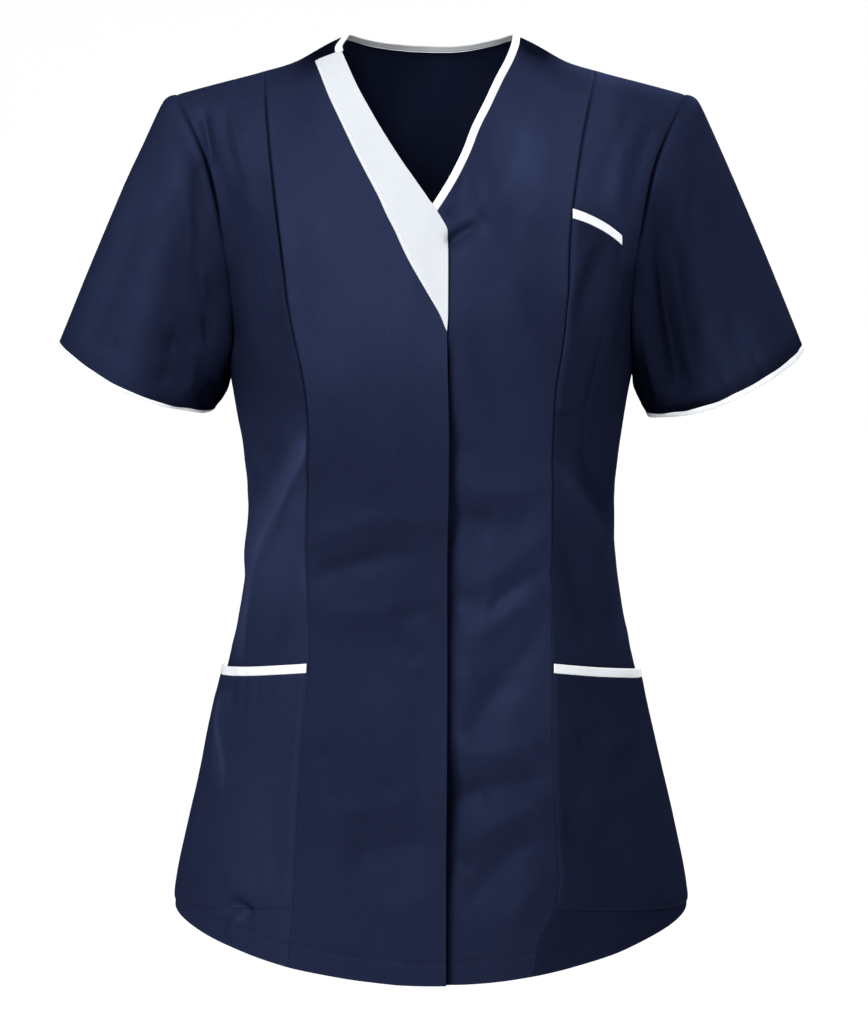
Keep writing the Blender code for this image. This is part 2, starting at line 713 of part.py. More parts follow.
def main():
    for thing in list(bpy.data.objects):
        bpy.data.objects.remove(thing, do_unlink=True)
    navy = make_material("navy_cloth", NAVY, NAVY_ROUGHNESS)
    white = make_material("white_cloth", WHITE, WHITE_ROUGHNESS)
    add_fronts(navy)
    add_back(navy)
    add_neck_binding(white)
    add_lapel(white)
    add_breast_pocket(navy, white)
    for hand, label in ((RIGHT, "right"), (LEFT, "left")):
        add_sleeve(hand, label, navy, white)
        add_lower_pocket(hand, label, navy, white)


if __name__ == "__main__":
    main()
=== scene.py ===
"""Looks of the work tunic: its cloth with seams and folds, bindings, stitching and light.

Metres, +Z up, the front towards -Y, left and right as the wearer has them. A point of the
body is named by turn, the angle round it from the centre line, and by rise, from 0 at the
hem to 1 at the shoulder line. A point of a sleeve is named by around, from 0 at the shoulder
over the front to half a turn at the underarm, and by along, from the armhole to the hem.
"""

import math

import bpy
import numpy as np
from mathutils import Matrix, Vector


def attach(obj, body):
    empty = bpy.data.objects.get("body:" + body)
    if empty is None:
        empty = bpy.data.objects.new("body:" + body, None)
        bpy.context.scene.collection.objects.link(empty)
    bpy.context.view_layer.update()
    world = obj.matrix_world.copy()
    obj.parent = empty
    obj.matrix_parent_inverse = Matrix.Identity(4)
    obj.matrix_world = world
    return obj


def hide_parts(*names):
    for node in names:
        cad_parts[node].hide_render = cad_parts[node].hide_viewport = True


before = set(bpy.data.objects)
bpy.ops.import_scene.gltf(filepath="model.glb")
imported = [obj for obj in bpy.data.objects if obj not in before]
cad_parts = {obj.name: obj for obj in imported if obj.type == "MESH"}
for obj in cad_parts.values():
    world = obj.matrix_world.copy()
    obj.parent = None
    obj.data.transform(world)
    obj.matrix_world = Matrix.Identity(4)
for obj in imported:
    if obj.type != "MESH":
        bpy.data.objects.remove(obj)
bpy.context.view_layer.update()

FRONT = -1
BACK = 1
RIGHT = -1
LEFT = 1
QUARTER = math.pi / 2
MM = 0.001

# Cloth, as heights over the surface on which the construction's walls are centred
OUTER = 0.6 * MM
LAYER = 1.7 * MM
CLOTH = 0.9 * MM
LAPEL_CLOTH = 1.1 * MM
BINDING_CLOTH = 1.6 * MM
SEAM_GAP = 0.4 * MM
BUTT_GAP = -0.1 * MM
STRIP_HEIGHT = 0.8 * MM

# Body
NECK_HALF = 0.067
SHOULDER_LINE_HALF = 0.215
SHOULDER_Z = -0.0432
UNDERARM_Z = -0.248
HEM_CENTRE_Z = -0.6965
HEM_SIDE_Z = -0.6635
HEM_CURVE = 1.8
SECTION_POWER = 2.3
CHEST_START_Z = -0.21
UPPER_BACK_START_Z = -0.12
SHOULDER_ROUNDING = 1.7
HEM_BAND = 18 * MM
HEM_PLUMP = 0.3 * MM
HEM_RISE = 0.22 * MM
HEM_GROOVE = 0.30 * MM

# Front closing
OVERLAP_EDGE_X = 0.0127
UNDERLAP_EDGE_X = -0.0180
PLACKET_LIFT = 2.1 * MM
PLACKET_LIFT_START_X = -0.0450
PLACKET_LIFT_END_X = -0.0220
PLACKET_STITCH_X = -0.0290
PLACKET_TOP_Z = -0.1800
PLACKET_FOOT_Z = -0.6920
PLACKET_TOP_STITCH_X = (-0.0340, -0.0100)
BAND_RISE = 0.25 * MM
BAND_GROOVE = 0.28 * MM
BAND_RIPPLE = 0.10 * MM
GAPE_START_X = -0.0140
CLOSING_DIP = 2.0 * MM
CLOSING_DIP_REACH = 8 * MM

# Bindings
NECK_BINDING_WIDTH = 6.0 * MM
BINDING_FOOT_RISE = 0.778
LAPEL_TOP_RISE = 0.986
LAPEL_WAVE = 0.16 * MM
SLEEVE_BINDING_WIDTH = 4.2 * MM
SLEEVE_BINDING_ROLLED = 2.4 * MM
POCKET_BINDING_WIDTH = 7.0 * MM
BINDING_STAND = 0.5 * MM
BINDING_WAVE = 0.07 * MM
MOUTH_BOW = 1.8 * MM

# Sleeves
CUFF_OUTER_X = 0.2815
CUFF_OUTER_Z = -0.2292
CUFF_INNER_X = 0.1640
CUFF_INNER_Z = -0.2800
CUFF_HALF_DEPTH = 0.0550
CUFF_DROP = {RIGHT: 0.0, LEFT: 3.0 * MM}
CUFF_SAG_FRONT = 8.5 * MM
CUFF_SAG_BACK = 4.0 * MM
SLEEVE_HEAD = 8.6 * MM
SLEEVE_HEAD_LIFT = 0.16
SLEEVE_FULLNESS = 9.0 * MM
UNDERARM_SLACK = 3.5 * MM
SLEEVE_TUCK = 1.5 * MM
SLEEVE_TUCK_DIP = 2.2 * MM
SLEEVE_TUCK_ROLL = 4.0 * MM
UNDERARM_SEAM_RISE = 0.9 * MM
SLEEVE_GIRTH_RADIUS = 0.060
SLEEVE_LENGTH = 0.150
SLEEVE_COLUMNS = 200
SLEEVE_MAP_RADIUS = 0.067
SLEEVE_MAP_LENGTH = 0.160
HEAD_START = 0.012
FULLNESS_START = 0.140
FOLDS_START = 0.15
SLEEVE_FADE = 1.6
HEAD_NARROWING = 1.5
SLACK_NARROWING = 4
CROWN_CALM = 0.35
CROWN_SEAM_CALM = 0.30

# Lower pockets
POCKET_BOTTOM_Z = -0.6420
POCKET_MOUTH_INNER_Z = -0.4684
POCKET_MOUTH_SIDE_Z = {RIGHT: -0.4862, LEFT: -0.4885}
POCKET_SHARES = (0.001, 0.990)
SEAM_LET_IN = 2.3 * MM
POCKET_FOOT_PRESS = 1.2 * MM
BREAST_SIDE_PRESS = 1.9 * MM
BREAST_SIDE_RUN = 14 * MM
PATCH_PRESS = 0.55 * MM
PATCH_RUN = 5 * MM
POCKET_STAND_OFF = 2.0 * MM
POCKET_STAND_OFF_DEPTH = 0.150

# Seams: how far the cloth dips into one, over what width, and how it puckers beside it
SEAM_DIP = 1.5 * MM
SEAM_ROLL = 2.4 * MM
PUCKER = 0.16 * MM
PUCKER_REACH = 9 * MM
RIPPLE = 0.42 * MM

# How far the cloth stands out along the princess seams, and how fast that fades beside them
RIGHT_CROWN = 3.2 * MM
LEFT_CROWN = 4.6 * MM
CROWN_FALL = 2.2

# Painted shade: how far each place of the navy cloth has its colour darkened to stand in for
# shade, from 0 to about 3
INNER_SHADE = 1.2
INNER_SHADE_START = 0.3
INNER_SHADE_GROWTH = 1.8
NECK_SHADE = 3.4
ARMHOLE_SHADE = 2.6
UNDERARM_SHADE = 1.6
CLOSING_SHADE = 1.7
CHEST_SEAM_SHADE = 1.0
SHOULDER_SEAM_SHADE = 0.8
BREAST_POCKET_SHADE = 1.0
LEFT_POCKET_SHADE = 1.3
# How far the painted highlight along the right pocket's crease lightens its colour
POCKET_HIGHLIGHT_LINE_PALE = 0.35

# A sleeve's painted shade all over, towards the body and at its hem, and where the inner one
# starts at the armhole, how far on it starts at the hem and how softly, in degrees round the
# sleeve
SLEEVE_SHADE = {
    RIGHT: {"all": 0.00, "inner": 1.35, "hem": 0.5, "start": 26, "shift": 58, "soft": 24},
    LEFT: {"all": 0.60, "inner": 1.45, "hem": 1.3, "start": 38, "shift": 50, "soft": 36},
}

# Stitching: where its lines run, as shares across or along a patch, and how deep it sinks in
LAPEL_STITCH_SHARE = 0.945
BREAST_STITCH_SIDE_SHARE = 0.93
BREAST_STITCH_FOOT_SHARE = 0.985
POCKET_STITCH_FOOT_SHARE = 0.988
LAPEL_STITCH_SINK = 0.36 * MM
BREAST_STITCH_SINK = 0.42 * MM
POCKET_STITCH_SINK = 0.50 * MM
HEM_STITCH_SINK = 0.08 * MM
HEM_STITCH_END = 0.03
HEM_STITCH_PARTING = (0.0105, -0.6800)

# How far the stitches run from an edge, and how wide their groove is
BINDING_STITCH = (1.2 * MM, 0.6 * MM)
PATCH_STITCH = (2.0 * MM, 0.9 * MM)
BINDING_GROOVE = 0.16 * MM
SLEEVE_BINDING_GROOVE = 0.14 * MM
LAPEL_GROOVE = 0.22 * MM
POCKET_GROOVE = 0.20 * MM

# Looks of the cloth
THREAD_PITCH = 0.55 * MM
WORN_SHARE = 0.35
# How far the shade attribute darkens the colour and dims the gloss as painted shade, and how far a
# shade below 0 lightens it as a painted highlight
SHADE_SHARE = 0.36
SHADE_DEPTH = 0.2
SHADE_GLOSS = 0.1
HIGHLIGHT_GAIN = 2.6
GLOSS_ROUGHNESS = 0.54

# Floor and light
FLOOR_Z = -1.38
FLOOR_RADIUS = 90.0
WORLD_STRENGTH = 0.08
SOFTBOX_SIZE = 0.35

# Camera
CAMERA_PLACE = (0.0023, -3.5692, 0.1249)
CAMERA_AIM = (0.0023, 0.0, -0.3606)
CAMERA_SENSOR = 36.0
CAMERA_LENS = 165.8

# Distances from an edge at which a grid has its close columns or rows
RIM_STEPS = np.array([0.0, 0.07, 0.24, 0.48]) * MM
SEAM_STEPS = np.array([0.0, 0.07, 0.24, 0.48, 0.9, 1.5, 2.2, 3.2, 4.6]) * MM
FREE_STEPS = np.array([0.0, 0.07, 0.24, 0.48, 0.9, 1.8, 3.0]) * MM
HEM_STEPS = np.array([0.0, 0.07, 0.24, 0.48, 1.2, 3.0, 6, 9, 12, 15, 17.2, 18.0, 18.8, 20]) * MM
COLUMN_STEP = 2.6 * MM
ROW_STEP = 3.0 * MM
BACK_COLUMN_STEP = 3.5 * MM
BACK_ROW_STEP = 3.3 * MM
STRIP_STEP = 0.6 * MM
FINE_RISES = np.linspace(0.0, 1.0, 2400)
EDGE_PASSES = 40

# Folds: how they fade towards their ends, and their section
SIDE_SEAM_CALM = 22 * MM
TOP_CALM = 0.05
FOLD_FADE = 0.35
FOLD_END = 0.3
CREASE_FALL = 1.2
CREASE_ROUNDING = 0.50
CREASE_REACH = 2.0
WEAR_REACH = 1.2 * MM
UNDERARM_TURN = 1.4


def table(names, *rows):
    """A table in millimetres as a dictionary of named columns in metres."""
    return dict(zip(names.split(), MM * np.array(rows, dtype=float).T))


def fold_table(names, *rows):
    """A table as a dictionary of named columns, each in its own unit."""
    return dict(zip(names.split(), np.array(rows, dtype=float).T))


# Half width and depths of the body by height
BODY = table(
    "z half front back",
    (-720, 197, 146, 138),
    (-650, 195, 140, 132),
    (-600, 185, 133, 126),
    (-540, 170, 126, 116),
    (-475, 154.5, 117, 101),
    (-430, 144.4, 112, 91),
    (-365, 138.6, 111, 83),
    (-320, 141.4, 121, 88),
    (-265, 149.5, 134, 100),
    (-248, 153, 136, 103),
    (-200, 163, 128, 107),
    (-175, 171, 121, 106),
    (-150, 183, 116, 104),
    (-122, 197, 111, 101),
    (-85, 210, 107, 95),
    (-50, 215, 106, 89),
    (40, 215, 105, 84),
)

# The shoulder line by distance from the centre, running on above the neckline as a guide
RIDGE = table(
    "x z",
    (0, 29),
    (30, 16.5),
    (67, 0),
    (75, -3.8),
    (83, -8.2),
    (99, -17.3),
    (127, -26.2),
    (161, -35.1),
    (191, -43),
    (215, -50),
)

# Where the armhole crosses each height, in front and behind
ARMHOLE = table(
    "z front back",
    (-248, 153, 153),
    (-230, 150.5, 152.5),
    (-177.5, 151.5, 158),
    (-130, 158.5, 166.5),
    (-92.5, 168, 173.5),
    (-43.2, 191.5, 191.5),
)

# The princess seams' distances from the centre line
PRINCESS = table(
    "z right left",
    (-720, 107.2, 76),
    (-682, 105.2, 76.8),
    (-662, 103.6, 80),
    (-645, 102.2, 89),
    (-625, 101.4, 92.8),
    (-605, 100.5, 92.5),
    (-570, 98.8, 91),
    (-530, 96.2, 88.8),
    (-460, 90.2, 89),
    (-385, 91.4, 88),
    (-292, 89.3, 88.2),
    (-255, 91.2, 90),
    (-196, 104.2, 99),
    (-146, 110.4, 101.8),
    (-81, 119.7, 111),
    (-30, 125, 122.6),
)

# The right front's free edge, slightly wavy down the closing, and along the V
RIGHT_NECK = table(
    "z x",
    (-695, 11.2),
    (-596, 11.3),
    (-485, 12.1),
    (-382, 12),
    (-297, 13.2),
    (-211, 11.9),
    (-143.5, OVERLAP_EDGE_X / MM),
    (-135.6, 11.5),
    (-119, 0.7),
    (-84.7, -23.6),
    (-60.3, -39.3),
    (-36, -53.6),
    (-19, -63),
    (-12.5, -70),
    (-8.5, -72.2),
    (0, -67.2),
)

# The left front's free edge, which is hidden up to the V's foot
LEFT_NECK = table(
    "z x",
    (-160, UNDERLAP_EDGE_X / MM),
    (-151, -15),
    (-124.1, 4.4),
    (-99.8, 19.9),
    (-82, 29),
    (-64.6, 36),
    (-46.7, 45.3),
    (-30.2, 53.5),
    (-16, 61.5),
    (-3.3, 66.5),
    (0, 67),
)

# The back neck edge by distance from the centre
BACK_NECK = table(
    "x z",
    (0, -12.6),
    (20, -11.7),
    (40, -8.6),
    (55, -4.6),
    (63, -1.6),
    (67, 0),
)

# The lapel from its tip to its top: inner edge and outer edge
LAPEL = table(
    "inner_x inner_z outer_x outer_z",
    (11.7, -210, 10.5, -207.5),
    (12.5, -200, 6, -197),
    (OVERLAP_EDGE_X / MM, -180, -4.4, -179.9),
    (OVERLAP_EDGE_X / MM, -158, -16.9, -158.5),
    (12.5, -142, -26.5, -138.5),
    (11, -135, -32.5, -127),
    (0.7, -119, -39, -113),
    (-12, -101, -48, -96.5),
    (-23.6, -84.7, -56, -81.5),
    (-39.3, -60.3, -66.5, -60.5),
    (-53.6, -36, -75.5, -42.5),
    (-61, -21, -81.5, -28.5),
    (-66.5, -9.7, -86.2, -17.9),
)

# Where the overlap's edge stands open: middle, half length and height of each place
GAPES = table(
    "z length height",
    (-450, 220, 2.2),
    (-290, 20, 2.4),
    (-348, 26, 3.0),
    (-412, 22, 1.6),
    (-556, 26, 4.2),
    (-606, 18, 1.4),
)

# The breast pocket from its mouth down: the side by the seam and the side by the armhole
BREAST_POCKET = table(
    "inner_x inner_z outer_x outer_z",
    (103, -131.8, 139.8, -150.8),
    (101.2, -160, 136, -175),
    (99.5, -190, 130.5, -202),
    (95.6, -220, 124.2, -229),
    (90.8, -250, 117.5, -256),
    (89.2, -269, 113, -273.5),
)

# Lines of painted highlight on the right side front and the right pocket, and the line on the left
# side front where its painted shade is least
HIGHLIGHT_LINE = table(
    "z x",
    (-480, -144),
    (-450, -142.4),
    (-413, -137.9),
    (-376, -129),
    (-339, -111.2),
    (-302, -94.2),
    (-264, -91.9),
)
LEFT_HIGHLIGHT_LINE = table("z x", (-450, 150), (-383, 135), (-340, 112), (-300, 94))
POCKET_HIGHLIGHT_LINE = table(
    "z x",
    (-575, -156.5),
    (-543, -156),
    (-517, -161.2),
    (-488, -156.5),
)

# Folds of the body along a line across the front or the back, in millimetres: a ridge, or a
# trough where the height is below 0. Bow bends the line sideways. Lean makes one side steeper.
FRONT_FOLDS = fold_table(
    "x0 z0 x1 z1 bow width lean height",
    # The largest ones, as the construction has them
    (-98, -285, -138, -415, 0, 14, 0, 2.6),
    (93, -320, 136, -415, 0, 13, 0, 2.8),
    (-172, -60, -146, -130, 0, 9, 0, -2.6),
    (164, -66, 143, -106, 0, 12, 0, -1.6),
    (-88, -392, -35, -380, 0, 9, 0, -1.8),
    (84, -385, 32, -450, 0, 12, 0, 2),
    (80, -430, 34, -520, 0, 13, 0, -1.8),
    (-62, -500, -78, -680, 0, 20, 0, 2.6),
    (56, -520, 66, -680, 0, 20, 0, 2.4),
    # Their crests
    (-96, -300, -135, -400, -4, 9, 0.4, 5),
    (-120, -300, -142, -345, 0, 14, 0, -4),
    (94, -313, 131, -377, -3, 9, -0.3, 4.2),
    (118, -372, 140, -440, 0, 13, 0, 2.4),
    # Right front, from the shoulder down
    (-85, -100, -60, -190, 6, 18, 0.2, 2.2),
    (-100, -120, -86, -230, 4, 10, 0, -1.6),
    (-92, -316, -68, -288, 3, 12, 0.2, 1.9),
    (-72, -262, -66, -330, 2, 13, 0, -2),
    (-94, -372, -26, -348, -4, 11, 0.3, 4.3),
    (-30, -344, 8, -352, 2, 10, 0, 2.6),
    (-92, -402, -10, -374, -3, 10, 0, -4.2),
    (-88, -424, -20, -416, 3, 12, 0, 2.9),
    (-30, -424, 6, -418, 2, 10, 0, -2.9),
    (-30, -438, -6, -455, 2, 9, 0, -2.2),
    (-40, -470, -28, -610, 6, 14, 0.2, 1.9),
    (-24, -544, -54, -611, 4, 14, 0, -2.1),
    (-78, -516, -66, -566, 3, 11, -0.2, -2.6),
    (-60, -606, 8, -588, -4, 16, 0.2, -3.5),
    (-62, -570, -6, -552, 3, 13, 0, 2.6),
    (-40, -640, 6, -628, 2, 14, 0, 1.4),
    # Left front: small creases at the foot of the V, then slanting ones below the waist
    (11, -147, 35, -132.5, -2, 5.2, 0.3, -6.6),
    (13, -138, 38, -124, 2, 4.8, 0, 2),
    (12, -124.5, 23, -123.5, 0, 2.6, 0, -1.8),
    (18, -114, 24.5, -98, 1, 3.4, 0, -1),
    (30, -100, 36.5, -117, -2, 4.6, 0, -1),
    (68, -62, 46, -112, -3, 10, 0.2, -0.9),
    (90, -74, 64, -122, -2, 12, 0, 1),
    (78, -96, 56, -150, 2, 11, 0, -1.4),
    (60, -170, 85, -240, 5, 16, 0.2, 2.2),
    (30, -200, 52, -290, -5, 14, 0, -1.2),
    (23, -327, 88, -324, 2, 11, 0.2, 3.5),
    (22, -358, 78, -350, 3, 14, 0, -3.3),
    (87, -358, 27, -404, -4, 10, 0.3, 3.5),
    (90, -388, 40, -422, 3, 8, -0.2, -4.5),
    (87, -408, 23, -448, 4, 10, 0.2, 3.3),
    (88, -426, 32, -489, -4, 12, 0, -3.2),
    (68, -468, 23, -514, 3, 12, 0, -3.3),
    (22, -525, 87, -516, 4, 12, 0.2, 3.7),
    (22, -554, 88, -547, -3, 11, 0, -4.3),
    (88, -562, 27, -594, 4, 12, -0.2, 3.7),
    (82, -584, 24, -642, 5, 13, 0.2, -4.2),
    (88, -616, 50, -658, 3, 12, 0, 2.9),
    (14, -297, 36, -300, 1, 9, 0, -1.9),
    (14, -350, 48, -354, 2, 13, 0, -3.5),
    (14, -411, 40, -416, -2, 9, 0, -2.1),
    (14, -560, 42, -552, 2, 12, 0, -3.7),
    (14, -603, 34, -607, 1, 9, 0, -2.2),
    (14, -470, 34, -466, 1, 12, 0, 1.6),
    # Right side front: shoulder, the long slanting ridge at the waist, over and on the pocket
    (-170.5, -53, -164, -93, 1, 4.5, 0, -4.6),
    (-155, -52, -136, -112, 3, 6.5, 0.2, -3.4),
    (-151, -58, -126, -132, 3, 9, 0, 3),
    (-158, -160, -148, -232, 2, 9, 0, -3.4),
    (-138, -150, -122, -240, 4, 12, 0.2, 2.6),
    (-112, -150, -108, -240, 2, 8, 0, -1.6),
    (-94, -300, -138, -413, -5, 3, 0.5, 1.6),
    (-100, -352, -128, -436, -4, 15, 0.3, -3.4),
    (-112, -286, -140, -352, 3, 11, 0, -3.4),
    (-136, -412, -150, -468, 2, 9, 0.2, 1.8),
    (-100, -402, -120, -452, 2, 11, 0, -2.6),
    (-152, -452, -108, -447, 2, 9, 0, -2.6),
    (-150, -486, -160, -560, 3, 5.5, 0.3, 4.5),
    (-145, -474, -148, -504, 1, 2.8, 0, -1.9),
    (-138, -474, -140, -506, -1, 3, 0, -1.6),
    (-127, -472, -130, -498, 1, 3.2, 0, -1.6),
    (-116, -472, -117, -492, 1, 3, 0, -1.1),
    (-152, -642, -132, -649, -2, 4.8, 0.3, -5.6),
    (-152, -626, -130, -629, 2, 7, 0, 3),
    (-143, -650, -148, -672, 1, 4.5, 0.2, 4),
    (-118, -560, -112, -630, 3, 12, 0, -2.6),
    (-168, -560, -176, -630, 2, 9, 0, -2.9),
    # Left side front, the same way round
    (154, -46, 122, -122, 3, 9.5, -0.2, -2),
    (160, -52, 134, -128, 3, 8.5, 0, 1.4),
    (167, -60, 145, -132, 2, 8, 0.2, -2),
    (121, -142, 100, -190, 2, 6.5, 0.2, 2.2),
    (129, -148, 106, -212, 3, 7.5, 0, -2.6),
    (140, -160, 130, -240, 3, 9, 0, 2.2),
    (112, -275, 114, -312, 0, 1.6, 0, -1.1),
    (98, -372, 118, -452, -3, 15, -0.3, -4),
    (130, -405, 146, -462, 2, 9, 0, 1.8),
    (112, -300, 136, -350, 3, 10, 0, -2.9),
    (106, -519, 130, -516, 2, 11, 0, -2.9),
    (98, -498, 152, -532, 4, 12, 0, 2.6),
    (94, -582, 138, -598, 3, 11, 0, -3),
    (110, -560, 150, -566, 2, 9, 0, 2.2),
    (140, -600, 158, -640, 2, 9, 0, -2.9),
)

BACK_FOLDS = fold_table(
    "x0 z0 x1 z1 bow width lean height",
    # The largest ones, as the construction has them
    (-60, -420, -78, -670, 0, 22, 0, 3),
    (64, -430, 80, -670, 0, 20, 0, 2.8),
    (-100, -360, -30, -372, 0, 11, 0, -2.2),
    (30, -352, 104, -366, 0, 12, 0, -2.2),
    (-150, -120, -118, -230, 0, 14, 0, -2.6),
    (152, -115, 120, -240, 0, 14, 0, -2.8),
    # Smaller ones
    (-165, -75, -140, -160, 3, 9, 0.2, -5.6),
    (168, -80, 142, -165, -3, 9, -0.2, -5.6),
    (-120, -60, -95, -200, 5, 16, 0, 4.5),
    (118, -65, 100, -190, -5, 16, 0, 4.5),
    (-140, -250, -90, -312, 5, 10, 0, -5.6),
    (138, -245, 92, -302, -5, 10, 0, -5.6),
    (-120, -270, -60, -320, 4, 10, 0, 3.9),
    (-130, -334, -50, -348, 4, 9, 0.2, -5.1),
    (128, -340, 66, -334, 3, 9, 0, -4.5),
    (-112, -378, -48, -388, -3, 9, 0, 4.3),
    (110, -380, 40, -380, 3, 9, 0, 4.3),
    (-24, -366, 36, -374, 3, 12, 0, -4.3),
    (-120, -398, -46, -412, 4, 11, 0.2, -5.1),
    (124, -404, 50, -398, -4, 11, 0, -4.5),
    (100, -420, 40, -470, -6, 13, 0, 4.3),
    (-28, -440, -44, -640, 8, 16, 0.2, -5.7),
    (20, -450, 26, -660, -8, 18, 0, 5.1),
    (112, -470, 132, -640, 6, 14, 0, -6.3),
    (-116, -460, -140, -630, -6, 14, 0, -5.7),
    (150, -520, 168, -650, 4, 12, 0, 5.1),
    (-155, -520, -172, -650, 4, 12, 0, 4.5),
)

BODY_FOLDS = {FRONT: FRONT_FOLDS, BACK: BACK_FOLDS}

# Folds of the sleeves, with around in degrees and along in hundredths
RIGHT_SLEEVE_FOLDS = fold_table(
    "around0 along0 around1 along1 bow width lean height",
    # The largest ones, as the construction has them
    (66, 8, 84, 62, 0, 10, 0, -2.8),
    (104, 40, 118, 90, 0, 9, 0, -3.2),
    (84, 62, 96, 100, 0, 10, 0, -2.4),
    (268, 12, 240, 80, 0, 12, 0, -3),
    (300, 30, 292, 95, 0, 12, 0, 2.6),
    # Smaller ones
    (20, 5, 76, 6, 1, 6, 0, -3.8),
    (40, 6, 72, 24, 2, 7, 0, -3.4),
    (76, 21, 98, 70, 4, 8, 0.2, -3.7),
    (98, 26, 119, 42, 2, 8, 0.2, -5.1),
    (93, 56, 104, 90, 2, 8, 0, -4.5),
    (86, 18, 108, 34, 2, 6, 0, 2.9),
    (108, 50, 124, 86, 3, 6.5, 0, 3.7),
    (46, 93, 66, 83, 1, 4, 0, -1.9),
    (144, 98, 148, 50, 3, 10, 0, -5.1),
    (10, 25, 20, 85, 3, 12, 0, 2.6),
    (30, 36, 42, 96, 3, 10, 0, -2.6),
    (200, 12, 214, 80, 4, 10, 0, -4.5),
    (226, 15, 222, 72, 3, 8, 0, 3),
    (320, 8, 304, 50, 3, 8, 0, -3.4),
    (342, 30, 336, 95, 3, 10, 0, 2.2),
)

LEFT_SLEEVE_FOLDS = fold_table(
    "around0 along0 around1 along1 bow width lean height",
    # The largest ones, as the construction has them
    (60, 10, 70, 46, 0, 10, 0, -2.2),
    (100, 22, 112, 86, 0, 10, 0, -3.4),
    (62, 66, 74, 100, 0, 10, 0, -2.4),
    (266, 14, 244, 78, 0, 12, 0, -3),
    (304, 28, 290, 95, 0, 12, 0, 2.6),
    # Smaller ones
    (84, 12, 120, 84, 5, 7.2, -0.2, -6.6),
    (76, 22, 106, 84, 4, 7, 0, 3.7),
    (124, 20, 138, 84, 3, 7, 0, 2.9),
    (12, 6, 56, 30, 3, 8, 0.2, -1.6),
    (22, 5, 64, 28, 3, 9, 0, 1.2),
    (84, 54, 80, 90, 2, 9, 0, -3.7),
    (87, 86, 86, 100, 0, 3, 0, -1.9),
    (61, 86, 60, 100, 0, 3, 0, -1.9),
    (36, 88, 35, 100, 0, 3, 0, -1.6),
    (134, 16, 146, 78, 3, 10, 0, -4.2),
    (24, 40, 34, 90, 3, 11, 0, 2.2),
    (198, 10, 212, 82, 4, 10, 0, -4.5),
    (228, 16, 222, 74, 3, 8, 0, 3),
    (322, 10, 306, 52, 3, 8, 0, -3.4),
    (344, 28, 338, 92, 3, 10, 0, 2.2),
)

SLEEVE_FOLDS = {RIGHT: RIGHT_SLEEVE_FOLDS, LEFT: LEFT_SLEEVE_FOLDS}


# Curves and folds


def smooth_curve(at, places, values):
    """A smooth cubic through a table's points, with rising places."""
    slopes = np.gradient(values, places)
    index = np.clip(np.searchsorted(places, at) - 1, 0, len(places) - 2)
    width = places[index + 1] - places[index]
    part = np.clip((at - places[index]) / width, 0.0, 1.0)
    start = (1 + 2 * part) * (1 - part) ** 2 * values[index]
    end = part ** 2 * (3 - 2 * part) * values[index + 1]
    leaving = part * (1 - part) ** 2 * width * slopes[index]
    arriving = part ** 2 * (part - 1) * width * slopes[index + 1]
    return start + end + leaving + arriving


def ease(part):
    """0 to 1 with level ends."""
    part = np.clip(part, 0.0, 1.0)
    return part * part * (3 - 2 * part)


def above(at, level, run):
    """0 up to a level and 1 from a run above it, both in millimetres."""
    return ease((at - level * MM) / (run * MM))


def below(at, level, run):
    """0 down to a level and 1 from a run below it, both in millimetres."""
    return ease((level * MM - at) / (run * MM))


def unit(vectors):
    return vectors / np.linalg.norm(vectors, axis=-1, keepdims=True)


def bump(at, centre, width):
    return np.exp(-(((at - centre) / width) ** 2))


def crease(off):
    """A fold's section: a rounded crest with hollow flanks."""
    flank = np.exp(-CREASE_FALL * (np.sqrt(off ** 2 + CREASE_ROUNDING ** 2) - CREASE_ROUNDING))
    return flank * bump(off, 0.0, CREASE_REACH)


def fold_heights(folds, first, second):
    """Heights of soft folds over a plane, all in millimetres."""
    total = np.zeros(np.broadcast(first, second).shape)
    for first0, second0, first1, second1, bow, width, lean, height in zip(*folds.values()):
        run = (first1 - first0, second1 - second0)
        length = math.hypot(*run)
        part = ((first - first0) * run[0] + (second - second0) * run[1]) / length ** 2
        off = ((first - first0) * run[1] - (second - second0) * run[0]) / length
        off = off - bow * 4 * part * (1 - part)
        fade = ease(part / FOLD_FADE + FOLD_END) * ease((1 - part) / FOLD_FADE + FOLD_END)
        total = total + height * fade * crease(off / (width * (1 + lean * np.sign(off))))
    return total


def make_waves(seed, count, across, down):
    """Random waves with wavelengths between the given ones across and down, in metres."""
    draw = np.random.default_rng(seed)
    return [
        (
            2 * math.pi / draw.uniform(*across) * draw.choice([-1, 1]),
            2 * math.pi / draw.uniform(*down),
            draw.uniform(0, 2 * math.pi),
            math.sqrt(2 / count),
        )
        for _ in range(count)
    ]


def wave_height(waves, across, down):
    return sum(
        share * np.sin(first * across + second * down + phase)
        for first, second, phase, share in waves
    )


BODY_WAVES = {
    side: make_waves(seed, 14, (0.035, 0.110), (0.070, 0.300))
    for side, seed in ((FRONT, 3), (BACK, 5))
}
SLEEVE_WAVES = {
    hand: make_waves(seed, 12, (0.030, 0.090), (0.060, 0.200))
    for hand, seed in ((RIGHT, 7), (LEFT, 9))
}
PUCKER_WAVES = make_waves(11, 6, (10.0, 20.0), (0.011, 0.034))
LAPEL_WAVES = make_waves(13, 8, (0.030, 0.080), (0.018, 0.060))


# Body and sleeve surfaces


def half_width(z):
    return smooth_curve(z, BODY["z"], BODY["half"])


def hem_z(turn):
    lift = np.abs(np.sin(turn)) ** HEM_CURVE
    return HEM_CENTRE_Z + (HEM_SIDE_Z - HEM_CENTRE_Z) * lift


def top_z(turn):
    return smooth_curve(np.abs(SHOULDER_LINE_HALF * np.sin(turn)), RIDGE["x"], RIDGE["z"])


def rise_at(turn, z):
    return np.clip((z - hem_z(turn)) / (top_z(turn) - hem_z(turn)), 0.0, 1.0)


def turn_at(x, z):
    return np.arcsin(np.clip(x / half_width(z), -1.0, 1.0))


